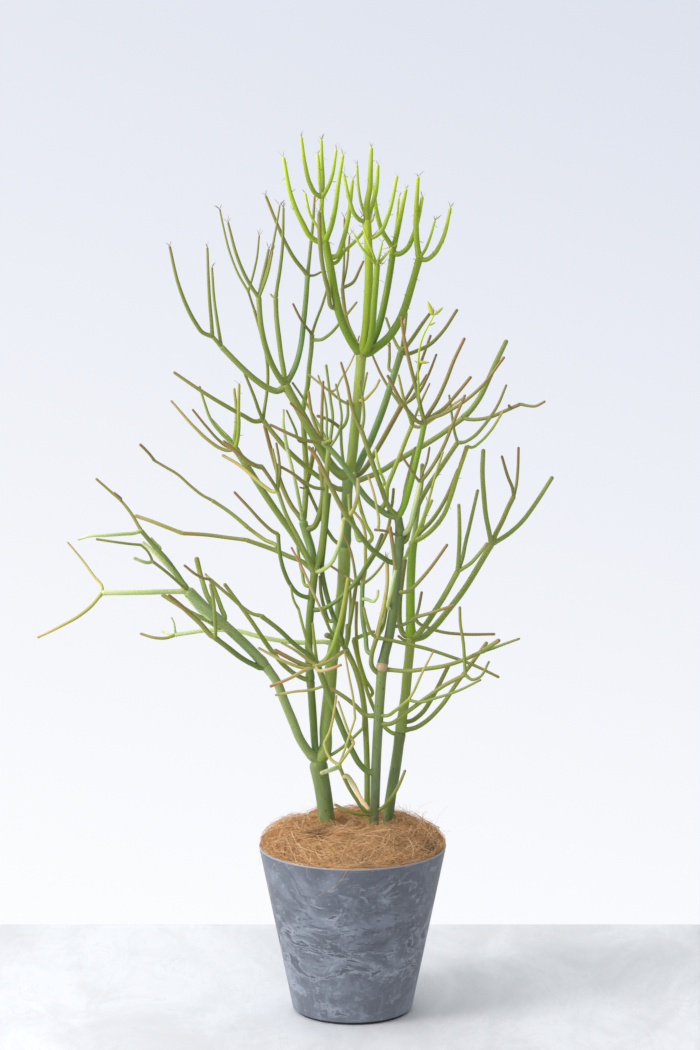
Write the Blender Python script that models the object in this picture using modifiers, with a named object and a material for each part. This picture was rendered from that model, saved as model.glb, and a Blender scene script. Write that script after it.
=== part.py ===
# Potted pencil euphorbia: a tapered pot with soil and a coir top mat, and four
# rooted stems with all their branches.
# Origin: centre of the pot's underside. +X right, +Y back, +Z up, in metres.

import bpy
import bmesh
import math
from mathutils import Vector

CM = 0.01
GAP = 0.0003              # free space kept between touching pieces
STEPS = 48                # sides of a turned piece

# Pot
RIM_RADIUS = 0.130
BASE_RADIUS = 0.0825
POT_HEIGHT = 0.236
WALL = 0.004
FLOOR = 0.009
FOOT_RADIUS = 0.079
FOOT_HEIGHT = 0.004
DRAIN_RADIUS = 0.007
DRAIN_CIRCLE = 0.045
DRAIN_HOLES = 4

# Soil and coir
SOIL_TOP = 0.221
MAT_EDGE_HEIGHT = 0.229
MAT_TOP = 0.262
SOCKET_CLEARANCE = 0.0006
ROOT_END = 0.17           # the stems reach down to about here in the soil

# Branches
EYE = (-0.35, -560, 176.5)   # in centimetres: the standpoint of the front elevation
STOUT = 0.6               # centimetres: branches from this radius get more sides
SLENDER = 0.3             # centimetres: twigs below this radius get fewer points
LEAFY_ABOVE = 1.06        # twig tips above this height carry a leaf tuft
LEAF_LENGTH = 0.009
LEAF_RADIUS = 0.0007
BUD_RADIUS = 0.0012

# Each stem stands at its own depth behind the pot's centre (cm), and is a list of
# branches: a name if others grow from it, the branch it grows from, its radius at
# the foot and at the tip, how far back (+) or forward (-) its tip lies from its
# foot, and then its points (x, z) on the front elevation, all in centimetres.
FOOT_DEPTH = {"stem_left": -1.0, "stem_middle": -1.8, "stem_back": 1.2, "stem_right": 1.0}
STEM_LEFT = [
    ("a", "", 1.15, 1.14, 0.5, (-3.6, 17.5), (-3.6, 27.2), (-3.9, 30), (-4.8, 35.4)),
    ("a1", "a", 0.62, 0.62, -3, (-5.7, 36.3), (-7.2, 38.5), (-8.2, 41), (-9.4, 44), (-10.4, 46.6), (-12.1, 49.1)),
    ("a1a", "a1", 0.66, 0.71, -3, (-13.8, 51), (-15.5, 52.7), (-17.4, 54.5), (-20, 56.9), (-22.6, 59.5)),
    ("", "a1a", 0.35, 0.28, 3, (-17.6, 55.6), (-18, 57), (-18.6, 58.7), (-19.5, 61.2)),
    ("", "a1a", 0.35, 0.35, 5, (-19.4, 57), (-20.1, 59.2), (-20.9, 62), (-21.4, 64.2)),
    ("", "a1a", 0.35, 0.28, 3, (-18, 54.4), (-19.8, 55.3), (-22, 56.3), (-24, 57.6), (-26.2, 59)),
    ("a1p", "a1a", 0.36, 0.35, 2, (-19.2, 55.6), (-20.5, 56.4), (-21.8, 57.8), (-23, 59.3)),
    ("a1l", "a1a", 0.36, 0.34, -2, (-23.6, 59.4), (-26, 59.35), (-29, 59.25), (-32, 59.2), (-34.3, 59.2)),
    ("", "a1l", 0.19, 0.12, 3, (-34.3, 60), (-35.4, 61.5), (-37, 63.8), (-39, 66.3)),
    ("", "a1l", 0.26, 0.16, -3, (-34.8, 58.6), (-35.8, 57.4), (-37.5, 56), (-40.5, 54.3), (-43.3, 52.9)),
    ("a1u", "a1a", 0.42, 0.28, 2, (-23.2, 60.4), (-24.2, 62), (-25.6, 64), (-27.2, 65.8), (-28.9, 67.9)),
    ("a1t", "a1u", 0.24, 0.16, 2, (-29.4, 68.8), (-30.2, 70.2), (-31.4, 71.8), (-33, 73.3), (-35, 75.1)),
    ("", "a1t", 0.17, 0.12, -1.5, (-31.6, 72.2), (-32.1, 72.8), (-32.6, 73.2)),
    ("", "a1u", 0.26, 0.15, -3, (-29.6, 67.6), (-31.5, 67.4), (-34, 67.2), (-36, 67.1), (-37.6, 66.6)),
    ("", "a1u", 0.18, 0.15, 2, (-26.3, 65.3), (-27, 66.2), (-27.6, 66.9)),
    ("", "a1p", 0.33, 0.25, -3, (-23.4, 60.7), (-24.7, 62.3), (-26.2, 63.9), (-27.6, 65.3), (-28.8, 66.3)),
    ("a1s", "a1a", 0.2, 0.21, -4.5, (-23.5, 60.3), (-24.9, 61.6), (-26.1, 62.6), (-27.4, 63.6)),
    ("a1r", "a1s", 0.17, 0.16, -1, (-27.6, 64.2), (-28.2, 65.2), (-29, 65.9)),
    ("", "a1r", 0.18, 0.16, -2, (-30.2, 66), (-32.5, 66.3), (-35.1, 66.7)),
    ("", "a1s", 0.24, 0.21, -2.5, (-28, 63.4), (-28.8, 63.6), (-30, 64.1)),
    ("a1b", "a1", 0.38, 0.35, -3, (-12.5, 48.7), (-13.6, 49.1), (-15.5, 50.2), (-17, 51.4), (-18.9, 52.9)),
    ("", "a1b", 0.35, 0.25, 0.5, (-19.4, 53.2), (-20.8, 54.8), (-22.5, 56.4), (-24, 57.8), (-25.3, 58.9)),
    ("", "a1b", 0.26, 0.21, -3, (-18.8, 53.9), (-18.9, 55.5), (-19, 57.5), (-19.5, 60.5)),
    ("a2", "a", 0.5, 0.54, 1, (-5.1, 37), (-5.4, 41), (-5.6, 44), (-5.8, 46.9)),
    ("a2b", "a2", 0.55, 0.52, 1, (-6, 50), (-6, 53), (-5.85, 56), (-5.5, 59.5), (-5.2, 62.2)),
    ("", "a2", 0.33, 0.25, -5, (-6.6, 47.1), (-7.8, 47.7), (-9.2, 48.8), (-11, 50.9), (-14, 55.4), (-17.6, 60.5)),
    ("a2j", "a2b", 0.3, 0.27, -3, (-6.4, 58.6), (-7.4, 59), (-8.5, 60.3), (-9.3, 62), (-9.9, 64.3), (-10.2, 67.4)),
    ("", "a2j", 0.24, 0.18, -1, (-10.8, 67.7), (-12.2, 68.9), (-14, 70.9), (-16.2, 73.3)),
    ("", "a2b", 0.24, 0.18, 3, (-6.4, 60.2), (-6.9, 62), (-7.4, 64.6), (-7.7, 67.8)),
    ("a2r", "a2b", 0.3, 0.25, -2.4, (-5.1, 56.8), (-4.2, 56.9), (-3, 57.5), (-1.6, 58.6), (0, 60.2), (1.1, 61.7),
        (2.1, 63.5), (3.2, 65.3), (4.1, 67.5)),
    ("a2l", "a2b", 0.34, 0.29, 2, (-6, 62.8), (-6.8, 63.5), (-8.5, 64.2), (-11, 65.3), (-14.6, 66.6)),
    ("a2m", "a2l", 0.26, 0.26, 1, (-17, 66.9), (-20, 67.3), (-23.2, 67.5)),
    ("", "a2m", 0.28, 0.25, -1, (-24, 67.8), (-25.5, 68.4), (-27.5, 69.2), (-29.8, 70)),
    ("a2n", "a2l", 0.28, 0.26, 3, (-10.4, 65.6), (-12, 66.6), (-13.4, 67.6), (-14.3, 68.3)),
    ("a2o", "a2n", 0.27, 0.25, 1, (-15.4, 69.3), (-17, 70.6), (-19.2, 72.1)),
    ("a2p", "a2o", 0.2, 0.18, 1, (-20.5, 72.8), (-22, 74), (-24, 75.8), (-25.5, 76.7), (-27, 77.6)),
    ("", "a2p", 0.2, 0.2, -1, (-27.5, 78.3), (-28.2, 79.1), (-29, 79.9)),
    ("a2u", "a2b", 0.62, 0.57, 3, (-5.4, 63.5), (-5.7, 65.4), (-6.3, 67.4), (-6.8, 69.2)),
    ("a2v", "a2u", 0.42, 0.37, 3.5, (-6.6, 70.4), (-6.4, 73), (-6.3, 76), (-6.5, 79.5), (-6.8, 84.5)),
    ("a6", "a2v", 0.34, 0.31, -1, (-6.5, 86), (-6.1, 88), (-5.9, 90.5), (-5.6, 93), (-5.5, 95)),
    ("", "a6", 0.21, 0.15, -3, (-6, 95.6), (-7, 97), (-8.1, 99.2)),
    ("", "a6", 0.2, 0.15, 3, (-5, 96.6), (-4, 99.3), (-3.1, 102.6)),
    ("", "a6", 0.24, 0.15, -5, (-5.1, 94.2), (-4.4, 94.2), (-3.2, 94.9), (-1.5, 96.8), (0.6, 99.4)),
    ("", "a2u", 0.41, 0.38, -2, (-6, 68.1), (-5.3, 68.4), (-4.8, 69.3), (-4.3, 71), (-4, 74), (-4.4, 77)),
    ("", "a2u", 0.33, 0.25, 3, (-7.3, 69.9), (-8.2, 71.1), (-9.4, 73.5), (-10.3, 76.2), (-11.2, 79.4), (-12, 82.6)),
    ("a2x", "a2u", 0.26, 0.23, -2, (-7, 70.4), (-7.4, 72.6), (-7.9, 75), (-8.9, 79.2)),
    ("", "a2x", 0.24, 0.18, -1, (-9.2, 81), (-9.45, 83), (-9.4, 84.7)),
    ("", "a2v", 0.18, 0.14, -4, (-7.1, 80.2), (-7.8, 81.9), (-9, 84.6)),
    ("a2q", "a2b", 0.45, 0.47, -1, (-5.9, 63.6), (-7, 65.5), (-8.3, 67.6), (-10, 70), (-12, 73), (-14, 76.2),
        (-16, 79.3)),
    ("", "a2q", 0.26, 0.15, -3, (-16.9, 79), (-18, 79.3), (-19.5, 80.3), (-21.5, 82.2), (-24.7, 85.9)),
    ("", "a2q", 0.21, 0.15, -1, (-17, 79.5), (-18.3, 80.5), (-19.8, 82.2), (-21.8, 84.7)),
    ("", "a2q", 0.24, 0.15, 2, (-16.6, 80.1), (-17.8, 81.3), (-19.3, 83.3), (-20.1, 85.5), (-20.8, 87.9)),
    ("", "a2q", 0.17, 0.12, 3.5, (-16.5, 80.4), (-17.8, 81.8), (-19.4, 83.6)),
    ("", "a2q", 0.27, 0.18, 4, (-16.1, 80.4), (-15.9, 82), (-15.8, 84.5), (-16.1, 87.6)),
    ("", "a2q", 0.27, 0.18, -3, (-15.7, 80.3), (-15.5, 82), (-15.5, 84.5), (-15.4, 88.2)),
    ("a2s", "a2b", 0.3, 0.26, -4, (-5.8, 63.4), (-6.6, 65.2), (-7.7, 67.4), (-8.9, 69.7), (-10.2, 73.4)),
    ("a2t", "a2s", 0.25, 0.26, -1.5, (-10.6, 74.1), (-11.3, 75.2), (-12.3, 76.7)),
    ("", "a2t", 0.32, 0.28, -2, (-12.9, 76.8), (-14, 77.3), (-15.8, 78.8), (-17.7, 80.3)),
    ("", "a2s", 0.26, 0.2, 2, (-10.8, 73.3), (-12, 74), (-13.6, 75.4), (-15.5, 77), (-17.8, 78.4)),
    ("", "a2s", 0.21, 0.16, 1, (-10.1, 74.4), (-9.9, 75.8), (-10, 77.6), (-10.4, 80.1)),
    ("", "a2s", 0.18, 0.15, -2, (-10.3, 75), (-10.4, 76.8), (-10.9, 79.3)),
    ("a2z", "a2b", 0.3, 0.28, -4, (-4.6, 62.2), (-3.8, 62.6), (-2.9, 63.4), (-2.2, 64.9), (-1.6, 67), (-1.3, 69.3)),
    ("", "a2z", 0.29, 0.25, -3.5, (-0.8, 69.7), (-0.1, 70.4), (0.45, 71.7), (0.75, 73.3), (0.75, 75.2)),
    ("a2e", "a2b", 0.42, 0.35, -1, (-4.8, 63.3), (-4.3, 65.4), (-4, 68), (-3.75, 71), (-3.6, 74), (-3.45, 77),
        (-3.2, 79.3)),
    ("e1", "a2e", 0.25, 0.17, 2, (-2.9, 81.5), (-2.7, 83.5), (-3, 86), (-3.3, 88.5), (-3.6, 90.8)),
    ("", "e1", 0.15, 0.11, 3, (-2.6, 87.2), (-1.6, 88.8), (-0.6, 90.4), (0.3, 92.4), (0.9, 94.8)),
    ("", "a2e", 0.18, 0.12, -2, (-3.5, 81.3), (-3.5, 84), (-3.9, 86.8), (-4.7, 89.4)),
    ("", "a2e", 0.2, 0.15, 3, (-4, 81.4), (-5, 83.2), (-6.4, 85.7), (-8.2, 88.4)),
    ("", "a2e", 0.19, 0.15, -2, (-2.2, 80.8), (-1.5, 83), (-1.7, 85.5), (-2.3, 88.2)),
    ("", "a2e", 0.24, 0.19, -2, (-5, 73.8), (-6.3, 74.4), (-8, 75.7), (-10.6, 77.2)),
    ("a3", "a", 0.88, 0.85, 5, (-3.9, 36.8), (-3.7, 40), (-3.2, 45), (-2.8, 50), (-2, 54), (-1.5, 58), (-1.2, 62),
        (-1.1, 65.6)),
    ("a3b", "a3", 0.74, 0.73, 0.5, (-0.9, 68), (-0.8, 71), (-0.75, 73.2), (-0.6, 75.3)),
    ("a3c", "a3b", 0.7, 0.69, -0.5, (-0.1, 78), (0.15, 80.5), (0.5, 84), (0.85, 88), (1.2, 92.4)),
    ("", "a3", 0.38, 0.43, -1.6, (-3.1, 53.1), (-3.8, 53.3)),
    ("a3l", "a3", 0.32, 0.29, 4, (-3.8, 52.3), (-6.5, 52.2), (-10, 52.5), (-13, 53.1), (-15.5, 53.8), (-18, 54),
        (-20.5, 53.9), (-22.5, 53.6), (-24.4, 53.3)),
    ("", "a3l", 0.17, 0.12, 0, (-24.4, 54), (-24.5, 54.9), (-24.9, 55.8)),
    ("", "a3l", 0.24, 0.18, -2, (-25.4, 52.9), (-27.2, 52.9), (-29.2, 53.5)),
    ("", "a3l", 0.18, 0.15, 1.5, (-25.2, 53.4), (-26.2, 53.8)),
    ("a4", "a", 0.24, 0.21, 1, (-4, 35.8), (-2.5, 36.6), (-1.3, 37.5), (0, 38.7), (1.5, 40.2)),
    ("", "a4", 0.21, 0.2, -1, (1.5, 41), (1.6, 41.8)),
    ("a3s", "a3", 0.27, 0.21, 1.5, (-1.6, 65.9), (-2.4, 66.4), (-3.2, 67.5), (-4.3, 69.6), (-5.3, 71.8), (-6.3, 74.1)),
    ("", "a3s", 0.18, 0.14, -1, (-6.9, 74.6), (-7.7, 75.3), (-8.7, 76.2)),
    ("", "a3s", 0.24, 0.18, -3, (-6.1, 75.4), (-5.7, 77.4), (-5.4, 79.5)),
    ("", "a3s", 0.19, 0.15, 2, (-5.9, 75.2), (-5.5, 77), (-5, 79.4)),
    ("", "a3s", 0.15, 0.12, -2.5, (-6.9, 73.8), (-7.2, 73.9)),
    ("a3m", "a3b", 0.36, 0.33, -1.5, (-2, 73.7), (-3, 74.2), (-4.3, 75.1), (-5.6, 76.1), (-7, 77.3), (-8.8, 79),
        (-10.5, 81), (-12.2, 83.2)),
    ("", "a3m", 0.31, 0.2, -3, (-13.1, 83), (-15, 83.9), (-18, 85.6), (-21, 87.5), (-24.3, 89.8)),
    ("", "a3m", 0.24, 0.18, -2, (-12.7, 84.4), (-13.3, 86.2), (-14, 88), (-14.7, 89.7)),
    ("a3n", "a3m", 0.24, 0.21, 2, (-12, 84.6), (-11.7, 86.6), (-11.5, 89), (-11.7, 92), (-12.4, 95), (-13.3, 98.3)),
    ("a3o", "a3n", 0.17, 0.16, 0, (-13.7, 99.5), (-14.1, 100.8)),
    ("", "a3o", 0.17, 0.12, 2, (-15.5, 103.3), (-16.6, 106.2), (-17.4, 109.5), (-17.9, 112)),
    ("", "a3o", 0.17, 0.12, -1, (-13.4, 103.2), (-12.9, 105.5), (-12.6, 108.4)),
    ("a3u", "a3b", 0.66, 0.58, -2.5, (-1.9, 75.9), (-3.1, 77.2), (-4.2, 79), (-5.3, 81), (-6.6, 83.4), (-7.9, 85.8),
        (-9.2, 88.1)),
    ("l1", "a3u", 0.45, 0.37, -2, (-10.2, 87.2), (-11.5, 87.6), (-13, 88.6), (-14.5, 89.9), (-16, 91.4), (-17.8, 93.3)),
    ("", "l1", 0.24, 0.15, 2.5, (-18, 94.6), (-18.3, 96.5), (-18.7, 99.5), (-19, 104.1)),
    ("l1b", "l1", 0.27, 0.26, -0.5, (-18.4, 94), (-19, 94.7)),
    ("", "l1b", 0.26, 0.15, 0.5, (-19.1, 96.5), (-19.3, 99), (-19.5, 103), (-19.6, 106.8)),
    ("", "l1b", 0.29, 0.18, -3, (-20.3, 95.2), (-21.2, 96.4), (-22.4, 98.7), (-23.6, 102), (-24.7, 107)),
    ("l2", "a3u", 0.42, 0.36, -5, (-9.9, 89), (-11, 91), (-12, 94), (-12.5, 97), (-12.7, 100)),
    ("", "l2", 0.26, 0.15, -2, (-13.4, 101), (-14.4, 102.7), (-15.6, 105.6), (-16.8, 110.2)),
    ("", "l2", 0.26, 0.18, 2, (-12.4, 101.6), (-12, 103.4), (-11.3, 106.6)),
    ("", "l2", 0.2, 0.15, -3, (-12.1, 101.4), (-11.4, 103.5), (-10.8, 106.3)),
    ("", "l2", 0.2, 0.12, 3, (-11.9, 102.5), (-11, 106), (-10.3, 109.5), (-9.8, 112.5)),
    ("l4", "a3u", 0.36, 0.33, 2, (-9.3, 89.5), (-9.7, 92), (-10, 94.5), (-10.3, 97.2), (-10.4, 99.9)),
    ("", "l4", 0.26, 0.15, -2, (-10.2, 101.4), (-9.9, 103.2), (-9.5, 106.5), (-9.3, 112.2)),
    ("", "l4", 0.17, 0.12, 1, (-10.9, 100.2), (-11.1, 100.5)),
    ("l5", "a3u", 0.42, 0.35, 5, (-8.6, 88.9), (-7.8, 90.5), (-7.1, 93), (-6.6, 97), (-6.3, 100), (-6.1, 103)),
    ("", "l5", 0.28, 0.18, -2, (-6.7, 103.8), (-7.6, 104.9), (-9, 107.3), (-10.4, 110.5), (-11.7, 113.8)),
    ("", "l5", 0.26, 0.15, 2, (-5.9, 104.7), (-5.7, 106.7), (-5.4, 109.5), (-5.1, 113.8)),
    ("", "l5", 0.18, 0.14, 1, (-5.2, 103), (-4.2, 103.5)),
    ("r1", "a3b", 0.5, 0.46, 5, (0.6, 76.5), (1.4, 78.2), (2.3, 80), (3.2, 82.2), (4.2, 84.9), (5.3, 88.4), (6.6, 92.6)),
    ("", "r1", 0.24, 0.16, 3, (6.1, 93.3), (5.5, 94.5), (4.5, 97.3)),
    ("", "r1", 0.24, 0.18, 1, (6.8, 94), (7.1, 96), (7.3, 98)),
    ("", "r1", 0.29, 0.21, -2, (7.5, 93.6), (8.5, 95), (9.5, 96.5), (10.6, 98)),
    ("", "r1", 0.28, 0.21, 2, (7.4, 92.3), (8.7, 92.7), (10.5, 93.6), (12, 95.1), (14.2, 98.4)),
    ("", "r1", 0.24, 0.18, 3, (5.1, 90), (5, 91.8), (5, 93.9)),
    ("r2", "a3b", 0.38, 0.34, 7, (0.9, 75.7), (2, 76.9), (3, 78.6), (4.2, 80.7), (5.4, 82.9), (6.6, 85.1)),
    ("", "r2", 0.21, 0.15, 3, (6, 86), (5.2, 87.2), (4, 89.2), (2.6, 92.3)),
    ("", "r2", 0.24, 0.18, 2, (7.3, 86.2), (8.2, 87.8), (9.1, 90.6), (10.6, 94.9)),
    ("", "r2", 0.21, 0.15, -2, (7.6, 85.7), (8.8, 86.7), (10.1, 89), (11.4, 92.3)),
    ("", "r2", 0.18, 0.14, 4, (7.4, 85.6), (8.8, 87.4), (10.1, 89.5)),
    ("r3", "a3b", 0.38, 0.36, 1.5, (0.6, 74.8), (2, 75.3), (4, 76.2), (6, 77.5), (8.3, 78.9), (10, 79.9), (12, 81.2),
        (13.6, 82.4), (15, 83.5)),
    ("", "r3", 0.4, 0.31, 3, (16, 84.5), (17.2, 86.2), (18.4, 88.7), (19.4, 91), (20.9, 94.2)),
    ("r3b", "r3", 0.26, 0.25, -3, (15.8, 83.3), (17.2, 83.3), (18.7, 83.6), (20.6, 84.4), (22.8, 85.4)),
    ("", "r3b", 0.21, 0.16, -1, (23.6, 85.2), (24.8, 85.1), (26.2, 85.8)),
    ("", "r3b", 0.19, 0.18, -0.5, (21.2, 85.3)),
    ("k1", "a3c", 0.6, 0.53, -3, (0.3, 93.3), (-0.6, 94.8), (-1.6, 97.2), (-2.4, 100.5), (-3, 104), (-3.7, 107.6)),
    ("", "k1", 0.38, 0.22, -2, (-4.6, 107.6), (-5.5, 108.1), (-6.8, 110.2), (-8.2, 113.5), (-9.3, 119)),
    ("k1b", "k1", 0.34, 0.3, 0.5, (-4, 109.6), (-4.2, 111.6), (-4.1, 113.6)),
    ("", "k1b", 0.32, 0.19, -1.5, (-4.9, 114), (-5.7, 115.3), (-6.4, 118), (-6.9, 121.7)),
    ("", "k1b", 0.32, 0.21, 2.5, (-4.4, 116), (-4.7, 119.4)),
    ("", "k1b", 0.29, 0.19, -3, (-3.5, 114.6), (-2.8, 116.4), (-2.2, 120)),
    ("", "k1b", 0.29, 0.19, 1, (-4, 115.6), (-4.1, 118), (-4.2, 121.3)),
    ("", "k1", 0.36, 0.22, -3, (-3, 109.3), (-2.4, 111.8), (-1.9, 115.5), (-1.3, 119.3)),
    ("", "k1", 0.2, 0.16, 2, (-4.5, 109.2), (-5.6, 111), (-6.4, 114.2)),
    ("k2", "k1", 0.41, 0.29, -4, (-2.6, 98.6), (-3.3, 101), (-4, 104), (-4.4, 107.5), (-4.5, 111.6)),
    ("", "k1", 0.26, 0.19, 3, (-2.3, 104.7), (-1.2, 106.2), (0.3, 107.6), (2.8, 110.7)),
    ("", "k1", 0.35, 0.22, 1.5, (-2.2, 105.6), (-1.4, 107.4), (-0.7, 110.2), (0, 116)),
    ("k4", "a3c", 0.3, 0.25, 5, (0.2, 94.4), (-0.7, 96.5), (-1.1, 98.5), (-1.4, 101.3)),
    ("", "k4", 0.17, 0.12, 1, (-1.2, 104), (-1.1, 110.8)),
    ("", "k4", 0.17, 0.12, 2, (-0.9, 103.5), (-0.4, 108.4)),
    ("", "k4", 0.24, 0.15, 1.5, (0, 102), (0.9, 103.7), (1.5, 105)),
    ("k5", "a3c", 0.64, 0.55, -4, (1.6, 94), (1.9, 96.5), (2.1, 100), (2.2, 104), (2.1, 107.5), (1.95, 110.6)),
    ("", "k5", 0.29, 0.19, -2, (1.2, 110.4), (0.4, 111.1), (-0.4, 113.2), (-1.2, 116.8)),
    ("", "k5", 0.19, 0.16, 1, (1.3, 112.2), (0.8, 114.8), (0.6, 118)),
    ("", "k5", 0.43, 0.26, -1, (1.9, 112.4), (2.3, 114.8), (2.4, 117.3), (2.5, 120.3)),
    ("", "k5", 0.35, 0.22, 3, (2.5, 112.2), (3, 113.8), (3.3, 115.8), (3.4, 118)),
    ("", "k5", 0.29, 0.21, -2, (2.8, 108.2), (3.7, 108.8), (4.7, 110.9), (6, 116.5)),
    ("k6", "a3c", 0.48, 0.41, -7, (1.7, 92.6), (2.3, 93.8), (2.7, 96), (2.9, 99), (3.15, 102), (3.3, 104.4)),
    ("", "k6", 0.19, 0.14, -1, (2.2, 105.6), (1.2, 106.8), (0.2, 108.6)),
    ("", "k6", 0.19, 0.14, 1, (2.7, 106), (2.1, 107.4), (1.4, 109.5)),
    ("", "k6", 0.19, 0.14, -1.5, (3.6, 105.6), (4, 107.5)),
    ("", "k6", 0.19, 0.14, -1, (4.1, 105.3), (5.3, 106.8)),
    ("k7", "a3c", 0.52, 0.44, 4, (2.3, 93.3), (3.1, 94.8), (3.8, 97), (4.4, 99.7), (4.95, 102.8), (5.5, 106.6)),
    ("", "k7", 0.35, 0.22, -2, (4.8, 107.7), (4, 109), (3.3, 111.3), (2.8, 115.2)),
    ("", "k7", 0.38, 0.24, 1, (5.9, 108.4), (6.4, 110.8), (7.2, 114.7)),
    ("", "k7", 0.2, 0.16, 3, (5.8, 109), (6, 111), (6.2, 113.5)),
    ("", "k7", 0.36, 0.22, -1, (6.2, 105.9), (7.2, 106.5), (8.2, 108.5), (8.9, 111), (9.4, 113.7)),
    ("k8", "a3c", 0.57, 0.48, 1, (2.2, 92.5), (3.4, 93.3), (4.8, 94.5), (6, 96.2), (7, 98.4), (7.8, 101), (9, 105.3)),
    ("", "k8", 0.41, 0.24, 2, (8.7, 107.2), (8.55, 109.8), (8.6, 112.5), (8.8, 116.4)),
    ("", "k8", 0.22, 0.16, -2, (9.8, 106.5), (10.4, 108), (11.1, 110.5)),
    ("", "k8", 0.32, 0.21, -1, (9.8, 105.1), (10.9, 105.8), (12, 107.6), (13.2, 112.2)),
    ("a5", "a3b", 0.24, 0.21, -3, (-1.15, 77), (-1.5, 79.5), (-1.6, 82)),
    ("", "a5", 0.24, 0.21, -2, (-2.4, 82.7), (-3.6, 83.4), (-4.9, 83.8)),
    ("", "a5", 0.24, 0.16, 1.5, (-1.1, 82.5), (-0.7, 83.6), (-0.7, 86)),
    ("", "a3c", 0.21, 0.14, -4, (-0.5, 85.4), (-1.4, 85.8), (-2.8, 86.9), (-4.3, 88.1), (-6, 89.5)),
    ("", "a3c", 0.24, 0.16, -5, (1.3, 85.9), (2.4, 86.8), (3.2, 87.8), (3.7, 88.8)),
]
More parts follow.
